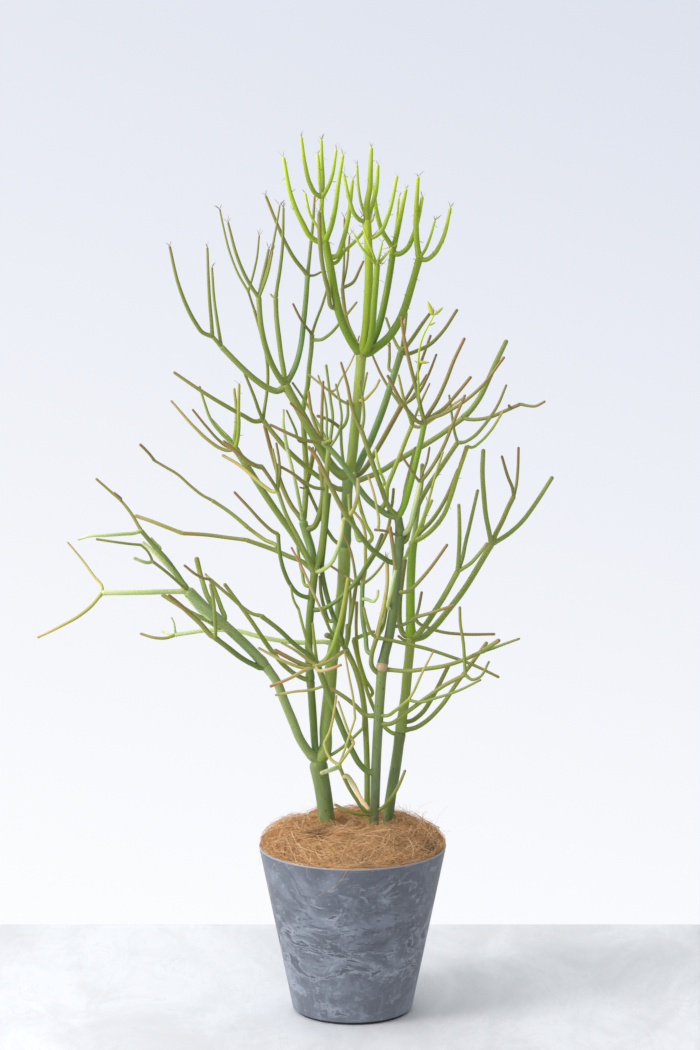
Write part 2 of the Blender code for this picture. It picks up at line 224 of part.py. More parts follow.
STEM_MIDDLE = [
    ("b", "", 0.68, 0.68, -0.6, (3, 17.5), (3, 27.2), (3.1, 30), (3.25, 35), (3.5, 40), (3.8, 45), (4.05, 48.7)),
    ("b2", "b", 0.66, 0.64, -0.4, (4.4, 50.5), (5, 53), (5.5, 56), (5.9, 59.5), (6.2, 63), (6.5, 67.3)),
    ("b3", "b2", 0.6, 0.52, 0, (6.4, 68.5), (6.2, 69.8)),
    ("", "b", 0.59, 0.62, -0.9, (4.05, 48.9), (4.05, 49)),
    ("", "b", 0.26, 0.2, -2, (2, 27.9), (1, 27.9), (-0.8, 28.4), (-2.5, 29.3)),
    ("", "b", 0.26, 0.19, -2, (3.8, 28.6), (4.8, 29.5), (6.2, 31.6), (7.3, 34.2)),
    ("b1", "b", 0.25, 0.26, -3.5, (2, 28.3), (0.4, 30.2), (-0.9, 32.5), (-1.9, 34.9)),
    ("b1a", "b1", 0.22, 0.21, 0.8, (-2.9, 35.6), (-3.6, 36.8), (-3.9, 38)),
    ("", "b1a", 0.2, 0.14, -1, (-3.2, 39.5), (-2.7, 41.5), (-2.2, 44.8)),
    ("b1b", "b1", 0.2, 0.19, -1, (-0.7, 36.6), (0.2, 38)),
    ("", "b1b", 0.19, 0.14, 0, (-0.5, 39.5), (-1.2, 41.5), (-2, 44)),
    ("", "b1", 0.35, 0.25, -4, (-0.9, 33.3), (0, 32.3), (1.2, 30), (2.3, 28.5)),
    ("", "b1", 0.35, 0.28, -5, (-3, 34.2), (-4.4, 33.7)),
    ("b1c", "b1", 0.17, 0.16, -1.5, (-1, 37.3), (-0.3, 39.5), (0.35, 41.5)),
    ("", "b1c", 0.17, 0.12, 0, (0.1, 44.3), (-0.5, 47.5), (-1.1, 51)),
    ("b5", "b", 0.42, 0.42, -2.2, (2.3, 33.9), (1.1, 34.9), (0, 36.8), (-1, 39), (-2.4, 42.5), (-3.6, 45.7), (-4.8, 49)),
    ("", "b5", 0.33, 0.25, 1, (-3.8, 49.7), (-2.9, 51.2), (-2, 54), (-1.3, 57), (-0.6, 61.3)),
    ("", "b5", 0.24, 0.16, 1, (-5, 50.2), (-5.2, 52), (-5.5, 55)),
    ("b5c", "b5", 0.24, 0.18, -1, (-5.4, 50.2), (-6.2, 52.3), (-6.8, 54.4), (-7.4, 56.9)),
    ("", "b5c", 0.18, 0.14, -1, (-8, 58), (-8.5, 60.3)),
    ("b5d", "b5", 0.33, 0.31, -2, (-5.6, 50), (-8, 52), (-10.3, 54.2), (-12.6, 56)),
    ("b5e", "b5d", 0.24, 0.21, 0, (-13.6, 56.2), (-15, 57.1), (-16.8, 58.7), (-19.5, 61.1)),
    ("", "b5e", 0.2, 0.16, -2, (-20.3, 61.2), (-21.5, 61.8), (-23.1, 63.1)),
    ("", "b5e", 0.18, 0.15, 1, (-19.9, 61.5), (-20.2, 61.9)),
    ("", "b5", 0.24, 0.16, -4, (-6, 49.7), (-8, 51.2), (-9.9, 52.3)),
    ("", "b", 0.33, 0.25, 1.2, (1.8, 42), (0.2, 43.5), (-1.5, 44.8), (-3.4, 46)),
    ("b6", "b5", 0.2, 0.16, -2, (-5.4, 45.6), (-8, 45.3), (-10.7, 44.8)),
    ("b7", "b", 0.3, 0.28, -4, (5, 40.7), (7.5, 42.4), (10, 44.3), (12.5, 46.1), (15.5, 47.7)),
    ("", "b7", 0.24, 0.19, 1, (15.4, 49.6), (15.2, 52.3), (14.8, 54.8), (14.7, 57.3)),
    ("", "b7", 0.21, 0.16, -1, (16.4, 47), (17.4, 47.3), (18.8, 49.6)),
    ("b8", "b", 0.24, 0.23, -3, (4.8, 41.9), (6, 42.7), (7.7, 44.1)),
    ("", "b8", 0.19, 0.14, -1, (8.4, 45.3), (9.4, 47.6), (11.1, 51)),
    ("", "b8", 0.21, 0.16, -2, (9.3, 43.8), (11.5, 44.4), (14.5, 45.4), (17.7, 47)),
    ("b9", "b", 0.34, 0.31, -1, (3.3, 48.1), (2.7, 48.8), (2.6, 50.3), (3, 51.9), (3.3, 52.9)),
    ("", "b9", 0.24, 0.2, -1, (2.6, 53.5), (2, 55), (1.5, 57.2)),
    ("", "b9", 0.28, 0.25, 0.5, (3.7, 54.8), (4.2, 57), (4.7, 60), (4.7, 64.2)),
    ("", "b9", 0.26, 0.21, 1.5, (4, 54), (4.5, 56), (4.8, 58.5)),
    ("", "b9", 0.26, 0.19, 1.5, (4.5, 52.7), (7.5, 52), (10, 51.4), (13, 50.4), (16.5, 49.1), (20.2, 47.3)),
    ("b9g", "b9", 0.32, 0.31, 3, (2.3, 50.8), (1.8, 53), (1.35, 56), (1.35, 60.5)),
    ("", "b9g", 0.26, 0.19, 1, (1.7, 62), (1.75, 65), (1.7, 67.6), (1.2, 69.2), (0.2, 70.5)),
    ("", "b9g", 0.24, 0.19, -3, (1.9, 58.3), (2.9, 58), (3.4, 58.7), (3.5, 59.6)),
    ("b10", "b", 0.3, 0.27, -2.5, (4.9, 48.4), (7.5, 48.2), (10, 48.5), (12.5, 48.9), (14.8, 49.6), (17.9, 51)),
    ("", "b10", 0.21, 0.16, -1, (19, 51.3), (20.3, 51.8), (23, 52.8)),
    ("", "b10", 0.31, 0.3, -2.5, (18.6, 51.5), (20.2, 52.6)),
    ("b12", "b2", 0.24, 0.23, 0.5, (6.1, 54.5), (7.5, 55), (8.7, 55.8)),
    ("", "b12", 0.2, 0.18, 1, (9, 56.8), (9.5, 59.4)),
    ("", "b12", 0.24, 0.2, -1.5, (10.5, 56.3), (12.3, 56.9), (14.1, 57.5)),
    ("", "b12", 0.24, 0.19, 2, (9, 55), (10.4, 54.3), (12.3, 53.7), (15, 53.4), (19.6, 53.4)),
    ("", "b2", 0.26, 0.2, -3, (7.2, 59.3), (8, 59.7), (9.2, 60.9), (10.6, 62.6), (13, 66)),
    ("b13", "b2", 0.25, 0.23, -2.5, (5.1, 57), (5.3, 59.4), (5.9, 62.5)),
    ("", "b13", 0.29, 0.25, -1, (5.7, 64.2), (5.4, 66.4), (5.1, 68.5)),
    ("b14", "b2", 0.36, 0.34, -3.5, (5.2, 63.5), (4, 64.2), (2.7, 65.2), (1.5, 66.6), (0.4, 68.2), (-0.8, 69.9)),
    ("", "b14", 0.35, 0.25, -1, (-1.7, 71.5), (-2.9, 73.9), (-3.9, 76), (-5, 78.2), (-6.1, 79.6)),
    ("b14c", "b14", 0.26, 0.23, 2.5, (2.6, 66.6), (1.8, 68.8), (1.1, 71), (0.6, 73.5), (0.2, 76)),
    ("", "b14", 0.29, 0.22, 4, (1, 66.5), (0.3, 68.4), (-0.3, 70.4), (-0.5, 73)),
    ("b15", "b2", 0.2, 0.18, -2, (5.6, 67.4), (4.6, 67.8), (3, 68)),
    ("", "b15", 0.19, 0.15, -1, (3.6, 69), (3.3, 71.2), (2.8, 73.4), (2.1, 75.6)),
    ("b4", "b3", 0.42, 0.37, -1.5, (5, 70), (3.5, 71), (2, 72.3), (1, 73.6), (0, 75.2), (-1.2, 77), (-2.6, 78.7),
        (-4.2, 80.3)),
    ("", "b4", 0.26, 0.19, -2, (-5, 80.2), (-6.4, 80.4), (-8.4, 81.2), (-11.3, 82.6)),
    ("", "b4", 0.24, 0.21, -2, (-3.6, 80.2), (-2.8, 80.4)),
    ("", "b4", 0.26, 0.19, 1, (-4.8, 81.8), (-5.5, 83.8), (-6, 87.2)),
    ("", "b4", 0.24, 0.18, -1, (-4.2, 82), (-4.15, 85), (-4, 88.6)),
    ("", "b4", 0.21, 0.16, -3, (-4.9, 81.2), (-6.2, 83.2), (-8.5, 85.6)),
    ("", "b4", 0.21, 0.19, 2, (5.3, 71.2), (5.5, 72.4), (5.6, 73.8)),
    ("b16", "b3", 0.36, 0.31, -3.5, (5.2, 70.8), (4.6, 71.9), (4, 73.6), (3.2, 75.8), (2.4, 78.2), (1.2, 81.8)),
    ("", "b16", 0.26, 0.16, -1, (0.5, 83.2), (-0.2, 85.4), (-0.7, 88), (-1.6, 91.2)),
    ("b16b", "b16", 0.22, 0.19, -0.5, (1.5, 83), (1.5, 85), (1.3, 86.5)),
    ("", "b16b", 0.18, 0.15, -1, (1.1, 87.5), (1, 88.6)),
    ("", "b16b", 0.19, 0.15, 1.5, (1.6, 88), (2, 89.8)),
    ("b17", "b16", 0.2, 0.15, -1.5, (4.2, 74.2), (3.8, 76), (3.4, 77.6), (3.1, 79.2)),
    ("b18", "b4", 0.32, 0.29, 3, (4.5, 71.8), (4.7, 73.8), (5.5, 76), (6.4, 78.2), (7.3, 80.6), (8.1, 82.5)),
    ("", "b18", 0.24, 0.16, 2, (8.9, 82.2), (9.8, 82.6), (11, 83.4), (12.6, 84.6), (15.1, 86.3)),
    ("", "b18", 0.24, 0.16, -2, (7.8, 83.5), (7.2, 85.2), (6.2, 89.5)),
    ("", "b18", 0.18, 0.12, -1, (8.5, 83.6), (9.1, 85.2), (10.5, 88.3)),
    ("b19", "b3", 0.42, 0.37, -1, (6.9, 71), (7.6, 73.2), (8.3, 76), (8.9, 78.6), (9.4, 80.8), (9.8, 82.9)),
    ("", "b19", 0.28, 0.2, -3, (9, 82.9), (8, 83.9), (6.6, 85.8), (4.7, 89.4)),
    ("", "b19", 0.29, 0.2, -2, (9.4, 84.3), (8.7, 87.3), (7.7, 91.2), (6.9, 95), (6.6, 97.4)),
    ("b19s", "b19", 0.18, 0.11, -4, (9.2, 84.5), (8.95, 88), (8.9, 91), (9.3, 94), (11, 97.6)),
    ("", "b19", 0.29, 0.21, 3, (10.2, 83.8), (11.3, 85.6), (12.6, 88.4), (13.7, 91.3), (15.2, 94.5)),
    ("", "b19", 0.26, 0.18, -2, (10.6, 83.4), (12, 83.9), (14.2, 85.1), (17, 87.3), (20.6, 91.9)),
    ("", "b19", 0.26, 0.21, 1, (10.8, 83.7), (12.4, 84.8), (14, 86.6), (16.1, 89.2)),
    ("b20", "b3", 0.3, 0.25, 3.5, (6.9, 71.6), (7.3, 74), (7.9, 76.5), (8.6, 79.5)),
    ("b21", "b2", 0.36, 0.31, -1.5, (7.3, 67.7), (7.9, 68.7), (8.3, 70.4), (8.8, 72.6), (9.2, 74.6)),
    ("", "b21", 0.2, 0.15, -2, (8.7, 75.2), (7.8, 76.6), (6.5, 78.5)),
    ("", "b21", 0.18, 0.14, 1, (9.5, 75.8), (10.1, 77.4), (10.5, 79.5)),
    ("", "b21", 0.26, 0.18, -3, (9.8, 75.3), (11, 77), (12.4, 79.6), (13.6, 82.6), (15.3, 86.7)),
    ("b22", "b2", 0.34, 0.31, 1.4, (7.1, 66.4), (7.7, 68), (8.4, 69.8), (9.2, 71.9), (10.4, 74.1), (12, 76.6),
        (14.3, 80.1)),
    ("", "b22", 0.2, 0.15, 1, (13.9, 81.4), (13.6, 83.2), (13.1, 86.7)),
    ("", "b22", 0.24, 0.16, -2, (15, 80.1), (16.2, 80.7), (18, 82.6), (19.7, 85.2), (20.9, 88.1)),
    ("b23", "b2", 0.22, 0.15, -3.5, (7, 64), (7.7, 65.4), (8.6, 67.2), (9.5, 69.3), (10.3, 71.8), (11.2, 75.2),
        (12.3, 78.8)),
    ("", "b23", 0.22, 0.21, 1.2, (9.2, 68.3), (9.9, 69.9), (10.9, 72.2)),
]
STEM_BACK = [
    ("d", "", 0.42, 0.4, 0, (2, 17.5), (2, 27.2), (2, 35), (1.8, 40), (1.6, 43), (1, 46.5), (0.2, 49), (-1, 51.4)),
    ("d2", "d", 0.35, 0.31, 2, (-1.6, 53), (-2.3, 55), (-3, 57), (-3.8, 60), (-4.2, 62.5), (-4, 65), (-3.7, 68),
        (-3.4, 71), (-3.2, 73)),
    ("", "d2", 0.26, 0.2, 0.8, (-3, 55.2), (-3.9, 57.2), (-4.3, 59), (-4.5, 61.6)),
    ("d3", "d", 0.24, 0.21, -3.2, (-2, 52.5), (-3, 53.8), (-3.6, 55.2), (-4.2, 56.6)),
    ("", "d3", 0.2, 0.14, -3, (-4.8, 57.9), (-5.9, 60.4), (-6.9, 62.7), (-8.4, 65.6)),
    ("d4", "d", 0.28, 0.26, -9.5, (-1.5, 50.8), (-2.5, 50), (-4, 49.2), (-5.7, 48.7)),
    ("", "d4", 0.24, 0.18, -2, (-7, 48.7), (-9, 49.4), (-13, 51.5)),
    ("", "d4", 0.32, 0.28, -1, (-7, 49.2), (-9, 50.2), (-10.8, 51.2)),
    ("", "d4", 0.26, 0.2, -4, (-6.8, 48.2), (-8.6, 47.2), (-11.4, 46)),
    ("", "d4", 0.24, 0.18, -3, (-4.9, 48.4), (-3.4, 48.4), (-1.5, 49.1)),
    ("d5", "d", 0.3, 0.27, -0.5, (-0.7, 53.2), (-0.1, 56.5), (0.3, 59), (0.5, 60.5)),
    ("", "d5", 0.21, 0.15, 1.5, (-0.4, 61.1), (-1.6, 62), (-3.2, 63.1)),
    ("", "d5", 0.2, 0.14, 1, (0.3, 62.2), (-0.2, 64.8), (-1.2, 67.5)),
    ("", "d5", 0.21, 0.15, 1.5, (1.2, 60.4), (2.2, 61), (3.4, 62.2), (4.6, 63.9)),
    ("", "d5", 0.31, 0.22, 3, (1.2, 61.7), (2.6, 63.9), (3.9, 66), (4.8, 68), (5.2, 69.9)),
    ("", "d", 0.24, 0.19, -2, (-0.8, 52.9), (-0.8, 54.8)),
    ("d6", "d", 0.24, 0.21, 1.6, (-0.6, 52.6), (-0.4, 55), (-0.3, 58), (-0.5, 61)),
]
STEM_RIGHT = [
    ("c", "", 0.78, 0.73, 0.5, (4.9, 17.5), (4.9, 27.2), (5.3, 30.5), (6, 35), (6.6, 39.6)),
    ("c2", "c", 0.7, 0.64, 0.5, (6.9, 42), (7.3, 45), (7.5, 47.5), (7.75, 50), (8, 53)),
    ("c3", "c2", 0.64, 0.56, 0.5, (7.95, 55.5), (7.95, 60), (8.05, 63), (8.3, 66.4)),
    ("c4", "c", 0.28, 0.25, 1.4, (5.6, 39.4), (4.6, 40.1), (3.4, 42), (2.2, 44.8), (1.4, 47.4), (0.7, 49.9),
        (0.1, 52.6)),
    ("", "c4", 0.28, 0.25, -0.5, (0.9, 53), (3.1, 53.8)),
    ("", "c4", 0.24, 0.21, 0.8, (2.6, 44.8), (1.7, 47.2), (0.9, 50), (0.5, 54), (0.6, 58)),
    ("", "c", 0.33, 0.25, -3, (7.5, 39.9), (8.7, 40.2), (10, 41), (12, 43), (14.7, 47), (16.6, 49.6), (18.5, 52.3)),
    ("", "c", 0.33, 0.28, 2, (7.2, 40.9), (8.2, 41.2), (9.4, 42.1), (11, 44.5), (12.4, 47.3), (13.3, 49.2)),
    ("", "c2", 0.38, 0.33, 2, (7, 53.4), (6.5, 54.8), (6.4, 57), (6.7, 60.5), (7.2, 64)),
    ("", "c2", 0.21, 0.18, -0.5, (7.2, 52.5), (6.2, 53.2)),
    ("c5", "c2", 0.4, 0.37, -3, (8.8, 53.3), (9.8, 54.4), (11.2, 56.5), (12.6, 58.8), (14.4, 62.2)),
    ("", "c5", 0.31, 0.22, -2, (14.5, 63.8), (14.6, 66), (14.6, 69), (14.5, 71.6)),
    ("", "c5", 0.28, 0.22, 3, (15, 63.9), (15.4, 66), (16, 68.6), (17.1, 73.6)),
    ("", "c5", 0.27, 0.25, -1, (15.1, 62.6), (16, 63.2), (17.3, 64.6), (18.5, 66.2)),
    ("c6", "c2", 0.44, 0.42, 5, (8.6, 52.8), (9.6, 53), (11, 54.2), (13, 56.6), (15.5, 60), (17.4, 63.2), (19, 66)),
    ("", "c6", 0.34, 0.31, -3, (18.7, 67.5), (18.2, 70), (17.9, 73), (17.7, 76), (17.8, 79.2)),
    ("c6b", "c6", 0.36, 0.33, 1, (19.6, 67.5), (20.4, 69.1), (21.2, 71), (22, 72.7)),
    ("", "c6b", 0.24, 0.18, -2, (21.8, 73.8), (21.2, 75.3), (20.3, 78.3)),
    ("", "c6b", 0.22, 0.18, 2, (22.3, 74), (22.5, 76), (22.6, 79.5)),
    ("", "c6", 0.33, 0.28, 3, (19.9, 66.5), (21.4, 67.5), (23.2, 69.2), (24.8, 71.4), (27.3, 75.4)),
    ("c7", "c3", 0.34, 0.29, -3, (9.1, 66.7), (10.2, 67.4), (11.4, 68.6), (12.5, 70.2), (13.4, 72.6), (14.3, 75.6),
        (15.6, 79.6)),
    ("", "c7", 0.2, 0.15, 1, (16.2, 79.4), (17.3, 80.1), (18.7, 81.6), (20.5, 84.5)),
    ("c8", "c3", 0.3, 0.23, 3, (9.4, 67.8), (10.6, 69), (11.8, 70.7), (12.8, 72.5), (14.4, 76.5)),
    ("c9", "c3", 0.34, 0.29, 6, (8.6, 68.5), (9, 71.5), (9.4, 74.5), (9.5, 77.2)),
]

STEMS = {
    "stem_left": STEM_LEFT,
    "stem_middle": STEM_MIDDLE,
    "stem_back": STEM_BACK,
    "stem_right": STEM_RIGHT,
}

PAINTS = {
    "marbled_slate": ((0.22, 0.25, 0.30), 0.45),
    "peat_soil": ((0.05, 0.035, 0.025), 0.95),
    "coir_fibre": ((0.42, 0.27, 0.13), 0.9),
    "green_bark": ((0.20, 0.34, 0.10), 0.5),
    "young_leaf": ((0.50, 0.60, 0.12), 0.5),
}


def clear_scene():
    for thing in list(bpy.data.objects):
        bpy.data.objects.remove(thing, do_unlink=True)


def make_collection(name):
    group = bpy.data.collections.new(name)
    bpy.context.scene.collection.children.link(group)
    return group


def paint(thing, name):
    colour, roughness = PAINTS[name]
    material = bpy.data.materials.new(f"{name}_{thing.name}")
    material.use_nodes = True
    shader = material.node_tree.nodes["Principled BSDF"]
    shader.inputs["Base Color"].default_value = (*colour, 1)
    shader.inputs["Roughness"].default_value = roughness
    shader.inputs["Metallic"].default_value = 0
    thing.data.materials.append(material)


def turned(name, outline, group):
    """A solid turned about Z from an outline of (radius, height), top to bottom outside."""
    mesh = bpy.data.meshes.new(name)
    corners = [(radius, 0, height) for radius, height in outline]
    mesh.from_pydata(corners, [(i, i + 1) for i in range(len(corners) - 1)], [])
    thing = bpy.data.objects.new(name, mesh)
    group.objects.link(thing)
    screw = thing.modifiers.new("turn", "SCREW")
    screw.axis = "Z"
    screw.steps = STEPS
    screw.render_steps = STEPS
    screw.use_merge_vertices = True
    screw.merge_threshold = 0.00005
    screw.use_smooth_shade = False
    return thing


def pot_radius(height):
    return BASE_RADIUS + (RIM_RADIUS - BASE_RADIUS) * height / POT_HEIGHT


def cylinder_cutter(name, radius, low, high, x, y, group):
    mesh = bpy.data.meshes.new(name)
    shape = bmesh.new()
    bmesh.ops.create_cone(shape, cap_ends=True, segments=16, radius1=radius, radius2=radius,
                          depth=high - low)
    shape.to_mesh(mesh)
    shape.free()
    cutter = bpy.data.objects.new(name, mesh)
    cutter.location = (x, y, (low + high) / 2)
    cutter.hide_render = True
    cutter.display_type = "WIRE"
    group.objects.link(cutter)
    return cutter


def cut(thing, cutter):
    boolean = thing.modifiers.new(cutter.name, "BOOLEAN")
    boolean.operation = "DIFFERENCE"
    boolean.object = cutter


def make_pot(group, cutters):
    lip = 0.0015
    outline = [
        (0, FLOOR),
        (pot_radius(FLOOR) - WALL, FLOOR),
        (RIM_RADIUS - WALL, POT_HEIGHT - lip),
        (RIM_RADIUS - WALL + lip, POT_HEIGHT),
        (RIM_RADIUS - lip, POT_HEIGHT),
        (RIM_RADIUS, POT_HEIGHT - lip),
        (pot_radius(FOOT_HEIGHT), FOOT_HEIGHT),
        (FOOT_RADIUS, FOOT_HEIGHT),
        (FOOT_RADIUS, 0),
        (0, 0),
    ]
    pot = turned("pot", outline, group)
    for i in range(DRAIN_HOLES):
        angle = math.tau * (i + 0.5) / DRAIN_HOLES
        x, y = DRAIN_CIRCLE * math.cos(angle), DRAIN_CIRCLE * math.sin(angle)
        cut(pot, cylinder_cutter(f"drain_{i}", DRAIN_RADIUS, -0.01, FLOOR + 0.01, x, y, cutters))
    paint(pot, "marbled_slate")


def bore_for_stems(thing, low, high, cutters):
    for stem, rows in STEMS.items():
        radius = rows[0][2] * CM + SOCKET_CLEARANCE
        x, y, _ = carried(rows[0][5][0], rows[0][5][1], FOOT_DEPTH[stem])
        cut(thing, cylinder_cutter(f"{thing.name}_{stem}", radius, low, high, x * CM, y * CM, cutters))


def make_soil(group, cutters):
    low = FLOOR + GAP
    outline = [
        (0, SOIL_TOP),
        (pot_radius(SOIL_TOP) - WALL - 2 * GAP, SOIL_TOP),
        (pot_radius(low) - WALL - 2 * GAP, low),
        (0, low),
    ]
    soil = turned("soil", outline, group)
    bore_for_stems(soil, ROOT_END - 0.001, SOIL_TOP + 0.01, cutters)
    paint(soil, "peat_soil")


def make_coir_mat(group, cutters):
    low = SOIL_TOP + GAP
    edge = pot_radius(low) - WALL - 0.001
    outline = [
        (0, MAT_TOP),
        (0.035, MAT_TOP - 0.001),
        (0.07, MAT_TOP - 0.007),
        (0.1, MAT_TOP - 0.018),
        (edge - 0.006, MAT_EDGE_HEIGHT + 0.003),
        (edge, MAT_EDGE_HEIGHT - 0.003),
        (edge, low),
        (0, low),
    ]
    mat = turned("coir_mat", outline, group)
    bore_for_stems(mat, low - 0.01, MAT_TOP + 0.02, cutters)
    paint(mat, "coir_fibre")


def carried(x, z, depth):
    """Carry a point of the front elevation back or forward along its line of sight."""
    scale = 1 - depth / EYE[1]
    return EYE[0] + (x - EYE[0]) * scale, depth, EYE[2] + (z - EYE[2]) * scale


def root_on(line, x, z):
    """The point of a branch's centre line that is nearest to (x, z) on the elevation."""
    best = None
    for (ax, ay, az), (bx, by, bz) in zip(line, line[1:]):
        along = ((x - ax) * (bx - ax) + (z - az) * (bz - az)) / ((bx - ax) ** 2 + (bz - az) ** 2)
        along = max(0, min(1, along))
        spot = (ax + (bx - ax) * along, ay + (by - ay) * along, az + (bz - az) * along)
        far = math.hypot(x - spot[0], z - spot[2])
        if best is None or far < best[0]:
            best = (far, spot)
    return best[1]


def branch_lines(stem):
    """Every branch of a stem as (key, foot radius, tip radius, points (x, depth, z))."""
    lines = {}
    branches = []
    for key, parent, foot, tip, depth, *points in STEMS[stem]:
        start = FOOT_DEPTH[stem]
        if parent:
            x, start, z = root_on(lines[parent], *points[0])
            points = [(x, z)] + points
        travelled = [0]
        for a, b in zip(points, points[1:]):
            buried = not parent and a is points[0]
            travelled.append(travelled[-1] + (0 if buried else math.dist(a, b)))
        line = [(x, start + depth * math.sin(math.pi / 2 * way / travelled[-1]), z)
                for (x, z), way in zip(points, travelled)]
        lines[key] = line
        branches.append((key, foot, tip, line))
    return branches


def thinned(line, foot):
    """A slender twig needs only its root, its bend and its tip, and a limb every second point."""
    if len(line) < 4:
        return line
    if foot >= STOUT:
        return line[:2] + line[2:-1:2] + line[-1:]
    if foot >= SLENDER:
        return line[:2] + line[3:-1:2] + line[-1:]
    return [line[0], line[len(line) // 2], line[-1]]


def branch_tube(name, foot, tip, line):
    """One branch as a closed tube, made as a curve and then turned into a mesh."""
    curve = bpy.data.curves.new(name, "CURVE")
    curve.dimensions = "3D"
    curve.bevel_depth = 1
    curve.bevel_resolution = 1 if foot >= STOUT else 0
    curve.use_fill_caps = True
    spline = curve.splines.new("POLY")
    line = thinned(line, foot)
    spline.points.add(len(line) - 1)
    for i, (x, y, z) in enumerate(line):
        spot = Vector(carried(x, z, y)) * CM
        spline.points[i].co = (*spot, 1)
        spline.points[i].radius = (foot + (tip - foot) * i / (len(line) - 1)) * CM
    thing = bpy.data.objects.new(name, curve)
    bpy.context.scene.collection.objects.link(thing)
    bpy.context.view_layer.update()
    evaluated = thing.evaluated_get(bpy.context.evaluated_depsgraph_get())
    mesh = bpy.data.meshes.new_from_object(evaluated)
    shape = bmesh.new()
    shape.from_mesh(mesh)
    bmesh.ops.remove_doubles(shape, verts=shape.verts, dist=0.00002)
    bmesh.ops.recalc_face_normals(shape, faces=shape.faces)
    shape.to_mesh(mesh)
    shape.free()
    bpy.data.objects.remove(thing, do_unlink=True)
    return mesh


def without_crumbs(thing):
    """The joined mesh without the loose slivers that a union leaves at some joints."""
    bpy.context.view_layer.update()
    evaluated = thing.evaluated_get(bpy.context.evaluated_depsgraph_get())
    mesh = bpy.data.meshes.new_from_object(evaluated)
    shape = bmesh.new()
    shape.from_mesh(mesh)
    shape.verts.ensure_lookup_table()
    largest = set()
    seen = set()
    for first in shape.verts:
        if first in seen:
            continue
        island = {first}
        front = [first]
        while front:
            corner = front.pop()
            for edge in corner.link_edges:
                other = edge.other_vert(corner)
                if other not in island:
                    island.add(other)
                    front.append(other)
        seen |= island
        if len(island) > len(largest):
            largest = island
    crumbs = [corner for corner in shape.verts if corner not in largest]
    bmesh.ops.delete(shape, geom=crumbs, context="VERTS")
    shape.to_mesh(mesh)
    shape.free()
    return mesh


def make_stem(stem, group):
    """The stem's branches, joined into one solid."""
    operands = make_collection(f"{stem}_branches")
    trunk = None
    for i, (key, foot, tip, line) in enumerate(branch_lines(stem)):
        name = stem if trunk is None else f"{stem}_branch_{i:03d}"
        thing = bpy.data.objects.new(name, branch_tube(name, foot, tip, line))
        if trunk is None:
            trunk = thing
            continue
        operands.objects.link(thing)
        thing.hide_render = True
        thing.display_type = "WIRE"
    group.objects.link(trunk)
    union = trunk.modifiers.new("branches", "BOOLEAN")
    union.operation = "UNION"
    union.solver = "MANIFOLD"
    union.operand_type = "COLLECTION"
    union.collection = operands
    trunk.data = without_crumbs(trunk)
    trunk.modifiers.clear()
    for thing in list(operands.objects):
        bpy.data.objects.remove(thing, do_unlink=True)
    paint(trunk, "green_bark")


def needle(shape, start, direction):
    """One hair-like leaf: a slender closed cone from the bud."""
    turn = direction.to_track_quat("Z", "Y").to_matrix().to_4x4()
    turn.translation = start + direction * LEAF_LENGTH / 2
    bmesh.ops.create_cone(shape, cap_ends=True, segments=4, radius1=LEAF_RADIUS,
                          radius2=LEAF_RADIUS / 3, depth=LEAF_LENGTH, matrix=turn)


def make_leaf_tuft(number, tip, direction, group, cutters):
    """A bud with two leaves, just clear of its twig's tip."""
    name = f"leaf_tuft_{number:02d}"
    bud_centre = tip + direction * (BUD_RADIUS + GAP)
    mesh = bpy.data.meshes.new(name)
    shape = bmesh.new()
    bmesh.ops.create_icosphere(shape, subdivisions=1, radius=BUD_RADIUS)
    bmesh.ops.translate(shape, verts=shape.verts, vec=bud_centre)
    shape.to_mesh(mesh)
    shape.free()
    tuft = bpy.data.objects.new(name, mesh)
    group.objects.link(tuft)
    side = direction.cross(Vector((math.cos(2 * number), math.sin(2 * number), 0))).normalized()
    for k, lean in enumerate((0.6, -0.7)):
        leaf_mesh = bpy.data.meshes.new(f"{name}_leaf_{k}")
        shape = bmesh.new()
        needle(shape, bud_centre, (direction + side * lean).normalized())
        shape.to_mesh(leaf_mesh)
        shape.free()
        leaf = bpy.data.objects.new(f"{name}_leaf_{k}", leaf_mesh)
        leaf.hide_render = True
        leaf.display_type = "WIRE"
        cutters.objects.link(leaf)
        union = tuft.modifiers.new(f"leaf_{k}", "BOOLEAN")
        union.operation = "UNION"
        union.object = leaf
    paint(tuft, "young_leaf")


def make_leaf_tufts(group, cutters):
    number = 0
    for stem in STEMS:
        for _, foot, tip, line in branch_lines(stem):
            end = Vector(carried(line[-1][0], line[-1][2], line[-1][1])) * CM
            before = Vector(carried(line[-2][0], line[-2][2], line[-2][1])) * CM
            if end.z < LEAFY_ABOVE or tip > 0.27:
                continue
            number += 1
            make_leaf_tuft(number, end, (end - before).normalized(), group, cutters)


def main():
    clear_scene()
    parts = make_collection("potted_euphorbia")
    cutters = make_collection("cutters")
    make_pot(parts, cutters)
    make_soil(parts, cutters)
    make_coir_mat(parts, cutters)
    for stem in STEMS:
        make_stem(stem, parts)
    make_leaf_tufts(parts, cutters)


main()
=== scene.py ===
# A pencil euphorbia in a marbled pot with a coir top dressing.
# Origin: centre of the pot's underside. +X right, +Y back, +Z up, in metres.

import math
import random

import bmesh
import bpy
from mathutils import Euler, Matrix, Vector, noise


